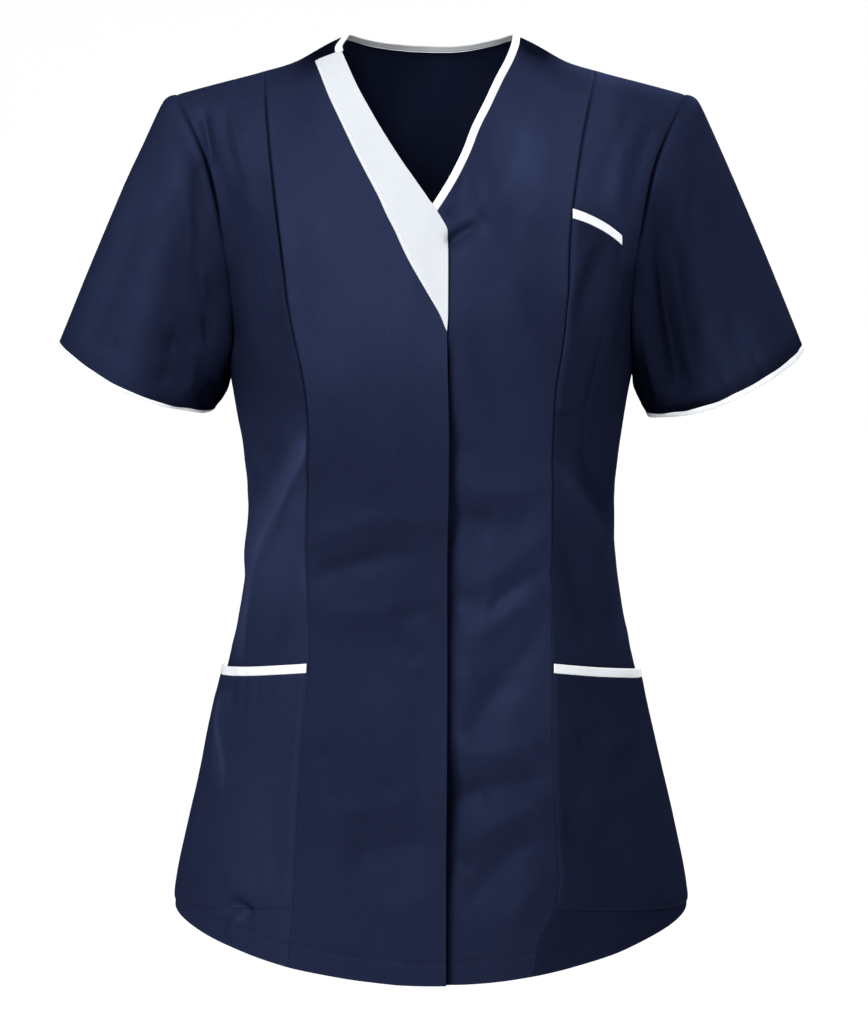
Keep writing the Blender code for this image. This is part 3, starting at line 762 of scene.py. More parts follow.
def smooth_body(side, turn, rise):
    """Points of the body without its folds."""
    turn, rise = np.broadcast_arrays(np.asarray(turn, float), np.asarray(rise, float))
    top = top_z(turn)
    z = hem_z(turn) + (top - hem_z(turn)) * rise
    start = CHEST_START_Z if side == FRONT else UPPER_BACK_START_Z
    over = np.clip((z - start) / (top - start), 0.0, 1.0)
    rounding = (1 - over ** SHOULDER_ROUNDING) ** (1 / SHOULDER_ROUNDING)
    across = np.minimum(np.abs(np.sin(turn)), 1.0)
    section = (1 - across ** SECTION_POWER) ** (1 / SECTION_POWER)
    depth = smooth_curve(z, BODY["z"], BODY["front" if side == FRONT else "back"])
    x = half_width(z) * np.sin(turn)
    y = side * (BUTT_GAP / 2 + depth * section * rounding)
    return np.stack([x, y, z], axis=-1)


def body_normal(side, turn, rise):
    """Outward directions of the body."""
    turn_step, rise_step = 1e-4, 1e-5
    across = smooth_body(side, np.clip(turn + turn_step, -QUARTER, QUARTER), rise)
    across = across - smooth_body(side, np.clip(turn - turn_step, -QUARTER, QUARTER), rise)
    upward = smooth_body(side, turn, np.clip(rise + rise_step, 0.0, 1.0))
    upward = upward - smooth_body(side, turn, np.clip(rise - rise_step, 0.0, 1.0))
    return unit(-side * np.cross(across, upward))


def body_skin(side, turn, rise):
    """Points of the body with its folds, and their outward directions."""
    points = smooth_body(side, turn, rise)
    normals = body_normal(side, turn, rise)
    x, z = points[..., 0], points[..., 2]
    height = MM * fold_heights(BODY_FOLDS[side], x / MM, z / MM)
    near_top = ease((1 - rise) / TOP_CALM)
    height = height + RIPPLE * near_top * wave_height(BODY_WAVES[side], x, z)
    if side == FRONT:
        height = height + princess_crown(x, z)
    height = height * ease(np.abs(points[..., 1]) / SIDE_SEAM_CALM)
    return points + normals * height[..., None], normals


def princess_crown(x, z):
    """The front is flatter between its princess seams and turns away faster beside them."""
    right = smooth_curve(z, PRINCESS["z"], PRINCESS["right"])
    left = smooth_curve(z, PRINCESS["z"], PRINCESS["left"])
    seam = np.where(x < 0, right, left)
    crown = np.where(x < 0, RIGHT_CROWN, LEFT_CROWN) * below(z, -30, 80)
    within = (np.abs(x) / seam) ** 2
    beside = np.clip(1 - (np.abs(x) - seam) / (half_width(z) - seam), 0.0, 1.0) ** CROWN_FALL
    return crown * np.where(np.abs(x) < seam, within, beside)


def edge_turns(rises, edge_x):
    """Turns at which the rows meet an edge that is given as x by height."""
    turn = np.zeros_like(rises)
    for _ in range(EDGE_PASSES):
        z = hem_z(turn) + (top_z(turn) - hem_z(turn)) * rises
        turn = 0.5 * turn + 0.5 * turn_at(edge_x(z), z)
    return turn


def princess_x(hand, gap):
    """The princess seam of one side, a gap nearer the side seam or the centre."""
    column = PRINCESS["right" if hand == RIGHT else "left"]
    return lambda z: hand * (smooth_curve(z, PRINCESS["z"], column) + gap)


def armhole_x(hand, side, gap):
    """The side seam and, above the underarm, the armhole."""
    column = ARMHOLE["front" if side == FRONT else "back"]

    def edge(z):
        open_x = smooth_curve(z, ARMHOLE["z"], column) - gap
        return hand * np.where(z < UNDERARM_Z, half_width(z), open_x)

    return edge


def closing_x(neck):
    return lambda z: smooth_curve(z, neck["z"], neck["x"])


def placket_lift(x, z):
    """How far the right front stands over the left one, most where it gapes a little."""
    run = PLACKET_LIFT_END_X - PLACKET_LIFT_START_X
    lift = PLACKET_LIFT * ease((x - PLACKET_LIFT_START_X) / run)
    return lift + gape(z) * ease((x - GAPE_START_X) / (OVERLAP_EDGE_X - GAPE_START_X)) ** 1.5


def gape(z):
    """How far the overlap's edge stands open down the closing."""
    places = zip(*GAPES.values())
    open_by = sum(height * bump(z, place, length) for place, length, height in places)
    return open_by * below(z, -205, 30)


def closing_dip(x, z):
    """The left front sinks under the overlap's edge, deepest where that gapes."""
    depth = CLOSING_DIP * below(z, -205, 30) + 0.6 * gape(z)
    return -depth * bump(x, OVERLAP_EDGE_X + 1 * MM, CLOSING_DIP_REACH)


def back_cap(turn):
    """The rise of the back's upper edge: the shoulder line, and the neck curve between."""
    x = SHOULDER_LINE_HALF * np.abs(np.sin(turn))
    neck = rise_at(turn, smooth_curve(x, BACK_NECK["x"], BACK_NECK["z"]))
    return np.where(x < NECK_HALF, neck, 1.0)


def armhole_loop(hand, around):
    """The body's armhole edge, with its outward direction."""
    points, normals = [], []
    for side, low, high in ((FRONT, 0.0, math.pi), (BACK, math.pi, 2 * math.pi)):
        share = np.linspace(0.0, 1.0, 400)
        z = SHOULDER_Z + (UNDERARM_Z - SHOULDER_Z) * share
        turn = turn_at(armhole_x(hand, side, 0.0)(z), z)
        edge = smooth_body(side, turn, rise_at(turn, z))
        run = reach(edge, 0)
        wanted = around[(around >= low) & (around < high)]
        wanted = wanted / math.pi if side == FRONT else 2 - wanted / math.pi
        z = np.interp(wanted * run[-1], run, z)
        turn = turn_at(armhole_x(hand, side, 0.0)(z), z)
        rise = rise_at(turn, z)
        skin = body_skin(side, turn, rise)
        points.append(skin[0])
        normals.append(skin[1])
    return np.concatenate(points), np.concatenate(normals)


def sleeve_point(hand, around, along):
    """Points of the sleeve without its folds."""
    seam, normals = armhole_loop(hand, around)
    under = (1 - np.cos(around)) / 2
    ahead = np.roll(seam, -1, axis=0) - np.roll(seam, 1, axis=0)
    towards_body = unit(hand * np.cross(ahead, normals))
    lifted = seam + normals * (UNDERARM_SEAM_RISE * under ** 3)[:, None]
    start = lifted + towards_body * SLEEVE_TUCK
    sag = np.where(around < math.pi, CUFF_SAG_FRONT, CUFF_SAG_BACK) * np.sin(around) ** 2
    across = (CUFF_OUTER_X - CUFF_INNER_X) / 2 * np.cos(around)
    drop = (CUFF_OUTER_Z - CUFF_INNER_Z) / 2 * np.cos(around)
    cuff = np.stack([
        hand * ((CUFF_OUTER_X + CUFF_INNER_X) / 2 + across),
        -CUFF_HALF_DEPTH * np.sin(around),
        (CUFF_OUTER_Z + CUFF_INNER_Z) / 2 + drop - sag - CUFF_DROP[hand],
    ], axis=-1)
    along = np.asarray(along)[:, None, None]
    head = SLEEVE_HEAD * (1 - under) ** HEAD_NARROWING
    full = SLEEVE_FULLNESS * np.sin(around)
    slack = UNDERARM_SLACK * under ** SLACK_NARROWING
    fade = 1 - along ** SLEEVE_FADE
    head_rise = fade * (1 - np.exp(-along / HEAD_START))
    full_rise = fade * (1 - np.exp(-along / FULLNESS_START))
    slack_rise = np.sin(math.pi * along)
    zero = 0 * around
    return (
        start + (cuff - start) * along
        + head_rise * np.stack([hand * head, zero, SLEEVE_HEAD_LIFT * head], axis=-1)
        + full_rise * np.stack([zero, -full, zero], axis=-1)
        - slack_rise * np.stack([hand * slack, zero, zero], axis=-1)
    )


def beside_crown(around, run):
    """0 along the top of a sleeve and 1 from a run beside it."""
    return ease(np.minimum(around, 2 * math.pi - around) / run)


def sleeve_skin(hand, around, along):
    """Points of the sleeve with its folds, and their outward directions."""
    points = sleeve_point(hand, around, along)
    turned = np.roll(points, -1, axis=1) - np.roll(points, 1, axis=1)
    outward = np.gradient(points, along, axis=0)
    normals = unit(hand * np.cross(turned, outward))
    folds = dict(SLEEVE_FOLDS[hand])
    for end in "01":
        folds["around" + end] = np.radians(folds["around" + end]) * SLEEVE_GIRTH_RADIUS / MM
        folds["along" + end] = folds["along" + end] / 100 * SLEEVE_LENGTH / MM
    across = around[None, :] * SLEEVE_GIRTH_RADIUS
    down = along[:, None] * SLEEVE_LENGTH
    height = MM * fold_heights(folds, across / MM, down / MM)
    ripple = RIPPLE * beside_crown(around, CROWN_CALM)
    height = height + ripple * wave_height(SLEEVE_WAVES[hand], across, down)
    height = height * ease(along / FOLDS_START)[:, None]
    return points + normals * height[..., None], normals


# Grids and shells


def reach(points, axis):
    """Lengths along a grid's rows or columns, from 0."""
    steps = np.linalg.norm(np.diff(points, axis=axis), axis=-1)
    zero = np.zeros_like(np.take(steps, [0], axis=axis))
    return np.concatenate([zero, np.cumsum(steps, axis=axis)], axis=axis)


def spaced(widths, near, far, step):
    """Distances across each width: close together at both edges and even between them."""
    widths = np.asarray(widths, float)
    most = float(widths.max())
    count = max(3, int((most - near[-1] - far[-1]) / step))
    first = near * np.minimum(1.0, 0.4 * widths / max(near[-1], MM))[:, None]
    last = far * np.minimum(1.0, 0.4 * widths / max(far[-1], MM))[:, None]
    inner = np.linspace(0.0, 1.0, count + 2)[1:-1]
    start = first[:, -1:]
    between = start + (widths[:, None] - last[:, -1:] - start) * inner
    return np.concatenate([first, between, widths[:, None] - last[:, ::-1]], axis=1)


def lay_grid(skin, ends, sides, row_step=ROW_STEP, column_step=COLUMN_STEP, more_rows=()):
    """A piece's grid with the distances of its points from its four edges.

    skin gives points and outward directions at shares across and along the piece.
    """
    dense = np.linspace(0.0, 1.0, 300)
    middle = reach(skin(np.full(300, 0.5), dense)[0], 0)
    along = np.interp(spaced(middle[-1:], *ends, row_step)[0], middle, dense)
    along = np.unique(np.concatenate([along, more_rows]))
    shares = np.linspace(0.0, 1.0, 60)
    lengths = reach(skin(shares[None, :], along[:, None])[0], 1)
    wanted = spaced(lengths[:, -1], *sides, column_step)
    across = np.array([np.interp(w, run, shares) for w, run in zip(wanted, lengths)])
    points, normals = skin(across, np.broadcast_to(along[:, None], across.shape))
    down = reach(points, 0)
    return {
        "points": points,
        "normals": normals,
        "left": wanted,
        "right": lengths[:, -1:] - wanted,
        "start": down,
        "end": down[-1] - down,
        "cloth": np.stack([wanted, down], axis=-1),
        "closed": False,
    }


def grid_faces(ids, flip):
    corners = (ids[:-1, :-1], ids[:-1, 1:], ids[1:, 1:], ids[1:, :-1])
    corners = corners[::-1] if flip else corners
    return np.stack([corner.ravel() for corner in corners], axis=1)


def add_shell(name, grid, outer, thick, material, shade=0.0):
    """A closed shell of cloth with rounded edges, its outer face at the given height."""
    points, normals, closed = grid["points"], grid["normals"], grid["closed"]
    rows, columns = points.shape[:2]
    edges = [grid["start"], grid["end"]] + ([] if closed else [grid["left"], grid["right"]])
    rim = np.minimum.reduce([np.broadcast_to(edge, (rows, columns)) for edge in edges])
    thick = np.broadcast_to(thick, (rows, columns))
    round_off = np.sqrt(1 - (1 - np.clip(2 * rim / thick, 0.0, 1.0)) ** 2)
    middle = outer - thick / 2
    upper = points + normals * (middle + round_off * thick / 2)[..., None]
    lower = points + normals * (middle - round_off * thick / 2)[..., None]

    border = np.zeros((rows, columns), bool)
    border[[0, -1]] = True
    if not closed:
        border[:, [0, -1]] = True
    top_ids = np.arange(rows * columns).reshape(rows, columns)
    low_ids = top_ids.copy()
    low_ids[~border] = rows * columns + np.arange(np.count_nonzero(~border))
    cloth = grid["cloth"]
    if closed:
        top_ids = np.concatenate([top_ids, top_ids[:, :1]], axis=1)
        low_ids = np.concatenate([low_ids, low_ids[:, :1]], axis=1)
    map_ids = np.arange(top_ids.size).reshape(top_ids.shape)
    r, c = rows // 2, columns // 2
    facing = np.cross(upper[r, c + 1] - upper[r, c], upper[r + 1, c] - upper[r, c])
    flip = bool(facing @ normals[r, c] < 0)
    faces = np.concatenate([grid_faces(top_ids, flip), grid_faces(low_ids, not flip)])
    maps = np.concatenate([grid_faces(map_ids, flip), grid_faces(map_ids, not flip)])

    mesh = bpy.data.meshes.new(name)
    everything = np.concatenate([upper.reshape(-1, 3), lower[~border]])
    mesh.from_pydata(everything.tolist(), [], faces.tolist())
    layer = mesh.uv_layers.new(name="cloth")
    layer.uv.foreach_set("vector", cloth.reshape(-1, 2)[maps.ravel()].astype(np.float32).ravel())
    shade = np.broadcast_to(shade, (rows, columns))
    wear = np.exp(-rim / WEAR_REACH)
    # Painted shade inside: the inner face gets more shade, growing lower down
    growth = INNER_SHADE_START + INNER_SHADE_GROWTH * below(points[..., 2], -50, 90)
    within = INNER_SHADE * growth
    for label, values, more in (("wear", wear, 0 * within), ("shade", shade, within)):
        values = np.concatenate([values.ravel(), (values + more)[~border]]).astype(np.float32)
        mesh.attributes.new(label, "FLOAT", "POINT").data.foreach_set("value", values)
    return add_object(name, mesh, material)


def add_object(name, mesh, material):
    mesh.materials.append(material)
    mesh.shade_smooth()
    thing = bpy.data.objects.new(name, mesh)
    bpy.context.scene.collection.objects.link(thing)
    return thing


def seam_dip(distance):
    """How far cloth dips towards a seam."""
    return -SEAM_DIP * np.clip(1 - distance / SEAM_ROLL, 0.0, 1.0) ** 2


def armhole_depth(z):
    """How deep the armhole's seam lies: deepest beside the chest, shallow elsewhere."""
    return 0.30 + 1.35 * bump(z, -0.106, 0.036)


def princess_depth(z):
    """How deep the princess seams lie: most beside the chest."""
    return 0.30 + 0.90 * bump(z, -0.200, 0.130)


def pucker(distance, down):
    """Small ripples beside a seam."""
    fade = np.exp(-distance / PUCKER_REACH) * ease(distance / (2 * MM) + 0.3)
    return PUCKER * fade * wave_height(PUCKER_WAVES, 0.0, down)


def hem_band(distance):
    """The turned hem is a little prouder, with a groove at its stitching."""
    band = HEM_RISE * ease((HEM_BAND - distance) / (1.6 * MM))
    return band - HEM_GROOVE * bump(distance, HEM_BAND, 1.1 * MM)


# Pieces of the body

# Rises of extra rows where the armhole's edge runs nearly level under the arm
UNDERARM_ROWS = rise_at(UNDERARM_TURN, UNDERARM_Z + np.arange(-0.9, 22.0, 0.6) * MM)


def plain(x, z):
    """For a panel with no lift or no shade of its own."""
    return 0.0 * x


def neck_shade(x, z):
    """Painted shade where the cloth rolls over beside the neck."""
    down = smooth_curve(np.abs(x), RIDGE["x"], RIDGE["z"]) - z
    return NECK_SHADE * below(down, 23, 23) * bump(np.abs(x), 76 * MM, 24 * MM)


def right_side_shade(x, z):
    """The right side front: painted shade beside the chest, and a painted highlight along its long
    ridge.
    """
    past = x - smooth_curve(z, HIGHLIGHT_LINE["z"], HIGHLIGHT_LINE["x"])
    band = bump(np.minimum(past + 3 * MM, 0), 0, 11 * MM) * below(past, 4, 4)
    crest = bump(past, 0, 2.2 * MM)
    foot = above(past, 0, 4) * below(z, -310, 40) * above(z, -440, 50)
    within = below(z, -262, 35) * above(z, -478, 40)
    chest = above(z, -325, 80) * below(z, -60, 70) * (1 - 0.8 * band * within)
    # band, crest and foot lighten the colour along the ridge: a painted highlight
    return chest - (0.34 * band + 0.16 * crest + 0.20 * foot) * within


def left_side_shade(x, z):
    """The left side front: painted shade below the shoulder, least along its ridge."""
    past = x - smooth_curve(z, LEFT_HIGHLIGHT_LINE["z"], LEFT_HIGHLIGHT_LINE["x"])
    highlight_line = bump(past, 0, 10 * MM) * below(z, -295, 30) * above(z, -480, 40)
    chest = below(z, -110, 80) * (0.95 - 0.65 * highlight_line)
    # Painted shade by the armhole, and a little painted light below the shoulder
    shoulder = 0.65 * above(x, 132, 30) * above(z, -160, 40) - 0.22 * bump(z, -85 * MM, 50 * MM)
    return chest + shoulder + 0.5 * below(z, -600, 30)


def back_shade(x, z):
    """The back: plain painted shade, and as deep towards its left side as the left side front."""
    return 0.3 + 0.75 * above(x, 20, 120) * below(z, -110, 80)


def right_front_shade(x, z):
    """The right front: painted shade, a little deeper below the chest."""
    return 0.1 + 0.55 * below(z, -230, 100) * (1 - 0.4 * below(z, -600, 60))


def left_front_shade(x, z):
    """The left front: painted shade a little at chest and hem, and a painted shadow under the
    overlap's edge.
    """
    low = 0.60 * bump(z, -215 * MM, 60 * MM) + 0.75 * below(z, -430, 160)
    # A little painted light on the upper chest
    high = -0.24 * bump(z, -80 * MM, 50 * MM) * above(x, 30, 30)
    shadow_width = 3.4 * MM + 1.9 * gape(z)
    under = ease(1.4 * (1 - (x - OVERLAP_EDGE_X) / shadow_width)) * below(z, -200, 30)
    return low + high + CLOSING_SHADE * under


def armhole_shade(distance, z):
    """Painted shade in the crease beside the upper armhole."""
    return ARMHOLE_SHADE * ease(1.3 - distance / (2.6 * MM)) * bump(z, -98 * MM, 36 * MM)


def princess_shade(distance, z):
    """Painted shade in a princess seam's crease, deepest beside the shoulder and gone below the
    waist.
    """
    deep = CHEST_SEAM_SHADE * above(z, -470, 120) + SHOULDER_SEAM_SHADE * above(z, -220, 80)
    return deep * ease(1.25 - distance / (1.7 * MM)) * below(z, -25, 30)


SEAM_SHADES = {armhole_depth: armhole_shade, princess_depth: princess_shade}


def pocket_highlight_line(x, z):
    """A painted highlight along a crease near the right pocket's outer edge."""
    past = x - smooth_curve(z, POCKET_HIGHLIGHT_LINE["z"], POCKET_HIGHLIGHT_LINE["x"])
    return -POCKET_HIGHLIGHT_LINE_PALE * bump(past, 0, 1.8 * MM) * below(z, -490, 12) * above(z, -570, 30)


def panel_skin(side, left_x, right_x):
    """The body's skin between two edges that are given as x by height."""
    left = edge_turns(FINE_RISES, left_x)
    right = edge_turns(FINE_RISES, right_x)

    def skin(across, along):
        low = np.interp(along, FINE_RISES, left)
        high = np.interp(along, FINE_RISES, right)
        return body_skin(side, low + (high - low) * across, along)

    return skin


def panel_form(grid, seams):
    """The height of a panel's outer face and its thickness, with its hem and its seams."""
    z = grid["points"][..., 2]
    outer = OUTER + hem_band(grid["start"]) + seam_dip(grid["end"])
    for edge, depth in zip((grid["left"], grid["right"]), seams):
        if depth:
            outer = outer + seam_dip(edge) * depth(z) + pucker(edge, z)
    return outer, CLOTH + HEM_PLUMP * ease((HEM_BAND - grid["start"]) / (2 * MM))


def add_panel(name, side, left_x, right_x, seams, lift, material, shade):
    """A panel of the body. seams gives the depth of the seam at its left and right edges."""
    sides = [SEAM_STEPS if seam else FREE_STEPS for seam in seams]
    more_rows = UNDERARM_ROWS if armhole_depth in seams else ()
    skin = panel_skin(side, left_x, right_x)
    grid = lay_grid(skin, (HEM_STEPS, SEAM_STEPS), sides, more_rows=more_rows)
    x, z = grid["points"][..., 0], grid["points"][..., 2]
    shaded = shade(x, z) + neck_shade(x, z)
    for edge, seam in zip((grid["left"], grid["right"]), seams):
        if seam:
            shaded = shaded + SEAM_SHADES[seam](edge, z)
    outer, thick = panel_form(grid, seams)
    return add_shell(name, grid, outer + lift(x, z), thick, material, shaded)


def front_lift(x, z):
    """The overlap's lift and its doubled band, which ends at the placket's stitching."""
    low = ease((PLACKET_TOP_Z - z) / (4 * MM))
    band = BAND_RISE * ease((x - PLACKET_STITCH_X) / (1.5 * MM) + 0.5) * low
    groove = BAND_GROOVE * bump(x, PLACKET_STITCH_X, 1.3 * MM) * low
    ripple = BAND_RIPPLE * bump(x, PLACKET_STITCH_X, 7 * MM) * wave_height(PUCKER_WAVES, 0.0, z)
    return placket_lift(x, z) + band - groove + ripple


def add_fronts(navy):
    gap = BUTT_GAP / 2
    return {
        "front_right": add_panel(
            "front_right_cloth", FRONT, princess_x(RIGHT, -gap), closing_x(RIGHT_NECK),
            (princess_depth, None), front_lift, navy, right_front_shade),
        "front_left": add_panel(
            "front_left_cloth", FRONT, closing_x(LEFT_NECK), princess_x(LEFT, -gap),
            (None, princess_depth), closing_dip, navy, left_front_shade),
        "side_front_right": add_panel(
            "side_front_right_cloth", FRONT, armhole_x(RIGHT, FRONT, gap), princess_x(RIGHT, gap),
            (armhole_depth, princess_depth), plain, navy, right_side_shade),
        "side_front_left": add_panel(
            "side_front_left_cloth", FRONT, princess_x(LEFT, gap), armhole_x(LEFT, FRONT, gap),
            (princess_depth, armhole_depth), plain, navy, left_side_shade),
    }


def add_back(navy):
    half = edge_turns(FINE_RISES, armhole_x(LEFT, BACK, BUTT_GAP / 2))

    def skin(across, along):
        share = 2 * across - 1
        cap = back_cap(share * half[-1])
        return body_skin(BACK, share * np.interp(along, FINE_RISES, half), along * cap)

    ends, sides = (HEM_STEPS, SEAM_STEPS), (SEAM_STEPS, SEAM_STEPS)
    grid = lay_grid(skin, ends, sides, BACK_ROW_STEP, BACK_COLUMN_STEP, UNDERARM_ROWS)
    outer, thick = panel_form(grid, (armhole_depth, armhole_depth))
    shade = back_shade(grid["points"][..., 0], grid["points"][..., 2])
    return add_shell("back_cloth", grid, outer, thick, navy, shade)


# Pieces that lie on the body

FREE = (FREE_STEPS, FREE_STEPS)


def patch_skin(edges, bow=0.0, bow_fade=0.0):
    """A front patch between an inner and an outer edge, its start bowed upward."""
    stations = np.arange(len(edges["inner_x"]), dtype=float)

    def skin(across, along):
        at = along * stations[-1]
        edge = {name: smooth_curve(at, stations, column) for name, column in edges.items()}
        inner_turn = turn_at(edge["inner_x"], edge["inner_z"])
        outer_turn = turn_at(edge["outer_x"], edge["outer_z"])
        turn = inner_turn + (outer_turn - inner_turn) * across
        z = edge["inner_z"] + (edge["outer_z"] - edge["inner_z"]) * across
        z = z + bow * 4 * across * (1 - across) * (1 - bow_fade * along)
        return body_skin(FRONT, turn, rise_at(turn, z))

    return skin


def pressed(distance, depth=PATCH_PRESS, run=PATCH_RUN):
    """How far a patch sinks towards the panel where it is sewn down or let into a seam."""
    return -depth * np.clip(1 - distance / run, 0.0, 1.0) ** 2


def add_lapel(white):
    grid = lay_grid(patch_skin(LAPEL), FREE, FREE, 2 * MM, 1.8 * MM)
    x, z = grid["points"][..., 0], grid["points"][..., 2]
    waves = LAPEL_WAVE * wave_height(LAPEL_WAVES, grid["left"], grid["start"])
    groove = LAPEL_GROOVE * bump(grid["right"], *PATCH_STITCH)
    outer = OUTER + LAYER + placket_lift(x, z) + pressed(grid["right"]) + waves - groove
    return add_shell("lapel_cloth", grid, outer, LAPEL_CLOTH, white)


def binding_edges(width):
    """The lower and upper edges of the binding above the breast pocket's mouth."""
    rise = {"x": np.zeros(2), "z": np.array([-BUTT_GAP, width])}
    return {name: column[0] + rise[name[-1]] for name, column in BREAST_POCKET.items()}


def binding_outer(grid):
    """The outer face of a pocket's binding, with a groove where each edge is stitched."""
    groove = bump(grid["start"], *BINDING_STITCH) + bump(grid["end"], *BINDING_STITCH)
    waves = wave_height(PUCKER_WAVES, 0.0, grid["left"])
    return OUTER + LAYER + BINDING_STAND - BINDING_GROOVE * groove + BINDING_WAVE * waves


def add_breast_pocket(navy, white):
    skin = patch_skin(BREAST_POCKET, MOUTH_BOW, 1.0)
    grid = lay_grid(skin, (RIM_STEPS, FREE_STEPS), FREE)
    outer = OUTER + LAYER + pressed(grid["left"], SEAM_LET_IN)
    outer = outer + pressed(grid["right"], BREAST_SIDE_PRESS, BREAST_SIDE_RUN)
    outer = outer + pressed(grid["end"], POCKET_FOOT_PRESS)
    pocket = add_shell("breast_pocket_cloth", grid, outer, CLOTH, navy, BREAST_POCKET_SHADE)
    skin = patch_skin(binding_edges(POCKET_BINDING_WIDTH), MOUTH_BOW)
    grid = lay_grid(skin, FREE, FREE, STRIP_STEP, 1.2 * MM)
    name = "breast_pocket_binding_cloth"
    return pocket, add_shell(name, grid, binding_outer(grid), BINDING_CLOTH, white)


def pocket_skin(hand, upper_z, lower_z):
    """A lower pocket between two heights that are measured from its mouth."""

    def skin(across, along):
        share = POCKET_SHARES[0] + (POCKET_SHARES[1] - POCKET_SHARES[0]) * across
        mouth_fall = POCKET_MOUTH_SIDE_Z[hand] - POCKET_MOUTH_INNER_Z
        mouth_z = POCKET_MOUTH_INNER_Z + mouth_fall * share
        z = mouth_z + upper_z + (lower_z - upper_z) * along
        seam = np.abs(turn_at(princess_x(hand, SEAM_GAP / 2)(z), z))
        turn = hand * (seam + (QUARTER - seam) * share)
        points, normals = body_skin(FRONT, turn, rise_at(turn, z))
        depth = np.clip((POCKET_MOUTH_INNER_Z - points[..., 2]) / POCKET_STAND_OFF_DEPTH, 0.0, 1.0)
        stand_off = POCKET_STAND_OFF * ease(share) * (1 - ease(depth))
        return points + normals * stand_off[..., None], normals

    return skin


def add_lower_pocket(hand, label, navy, white):
    bottom = POCKET_BOTTOM_Z - POCKET_MOUTH_INNER_Z
    grid = lay_grid(pocket_skin(hand, 0.0, bottom), (RIM_STEPS, FREE_STEPS), FREE)
    outer = OUTER + LAYER + pressed(grid["end"], POCKET_FOOT_PRESS)
    outer = outer + pressed(grid["left"], SEAM_LET_IN) + pressed(grid["right"], SEAM_LET_IN)
    outer = outer + pucker(grid["end"], grid["left"]) + 1.6 * pucker(grid["start"], grid["left"])
    outer = outer - POCKET_GROOVE * bump(grid["end"], *PATCH_STITCH)
    x, z = grid["points"][..., 0], grid["points"][..., 2]
    # Painted shade on the left pocket, a painted highlight line on the right one
    shade = LEFT_POCKET_SHADE if hand == LEFT else pocket_highlight_line(x, z)
    pocket = add_shell(f"lower_pocket_{label}_cloth", grid, outer, CLOTH, navy, shade)
    skin = pocket_skin(hand, POCKET_BINDING_WIDTH, -BUTT_GAP)
    grid = lay_grid(skin, FREE, FREE, STRIP_STEP, 1.4 * MM)
    name = f"lower_pocket_binding_{label}_cloth"
    return pocket, add_shell(name, grid, binding_outer(grid), BINDING_CLOTH, white)


# Bindings of neck and sleeves


def strip_grid(edge, normals, outward, width, closed):
    """A narrow strip beside an edge. Its rows run across it, its columns along the edge."""
    down = spaced([width], FREE_STEPS, FREE_STEPS, STRIP_STEP)[0][:, None]
    points = edge + outward * down[..., None]
    run = reach(edge, 0)
    whole = np.zeros(points.shape[:2])
    along = np.append(run, run[-1] + run[1]) if closed else run
    return {
        "points": points,
        "normals": np.broadcast_to(normals, points.shape),
        "left": run + whole,
        "right": run[-1] - run + whole,
        "start": down + whole,
        "end": width - down + whole,
        "cloth": np.stack(np.meshgrid(along, down), axis=-1),
        "closed": closed,
    }


def smoothed(values, passes):
    """A list of vectors with its corners eased, and its two ends kept."""
    for _ in range(passes):
        middle = (values[:-2] + 2 * values[1:-1] + values[2:]) / 4
        values = np.concatenate([values[:1], middle, values[-1:]])
    return values


def resampled(values, run, wanted):
    return np.stack([np.interp(wanted, run, values[:, axis]) for axis in range(3)], axis=1)


def add_neck_binding(white):
    """The binding up the left V, round the back neck and down to the lapel's top."""
    left_rise = np.linspace(BINDING_FOOT_RISE, 1.0, 260)
    right_rise = np.linspace(1.0, LAPEL_TOP_RISE, 30)
    half = edge_turns(np.array([1.0]), armhole_x(LEFT, BACK, SEAM_GAP / 2))[0]
    back_turn = np.linspace(half, -half, 900)
    neck = np.abs(np.sin(back_turn)) * SHOULDER_LINE_HALF < NECK_HALF - SEAM_GAP
    back_turn = back_turn[neck]
    stations = (
        (FRONT, edge_turns(left_rise, closing_x(LEFT_NECK)), left_rise),
        (BACK, back_turn, back_cap(back_turn)),
        (FRONT, edge_turns(right_rise, closing_x(RIGHT_NECK)), right_rise),
    )
    parts = [body_skin(side, turn, rise) for side, turn, rise in stations]
    edge = np.concatenate([points for points, normals in parts])
    normals = np.concatenate([normals for points, normals in parts])
    run = reach(edge, 0)
    wanted = spaced(run[-1:], RIM_STEPS, RIM_STEPS, 1.2 * MM)[0]
    edge = smoothed(resampled(edge, run, wanted), passes=6)
    normals = unit(smoothed(resampled(normals, run, wanted), passes=12))
    towards_neck = unit(np.cross(normals, unit(np.gradient(edge, axis=0))))
    grid = strip_grid(edge, normals, towards_neck, NECK_BINDING_WIDTH, False)
    waves = BINDING_WAVE * wave_height(PUCKER_WAVES, 0.0, grid["left"])
    outer = STRIP_HEIGHT + waves - BINDING_GROOVE * bump(grid["start"], *BINDING_STITCH)
    return add_shell("neck_binding_cloth", grid, outer, BINDING_CLOTH, white)


def sleeve_shade(hand, around, along):
    """A sleeve lies in painted shade towards the body, under the arm and a little at its hem."""
    look = SLEEVE_SHADE[hand]
    degrees = np.degrees(around)
    degrees = np.minimum(degrees, 360 - degrees)
    inner = ease((degrees - look["start"] - look["shift"] * along) / look["soft"])
    under = ease((degrees - 128) / 30)
    hem = ease((along - 0.90) / 0.10)
    return look["all"] + look["inner"] * inner + UNDERARM_SHADE * under + look["hem"] * hem


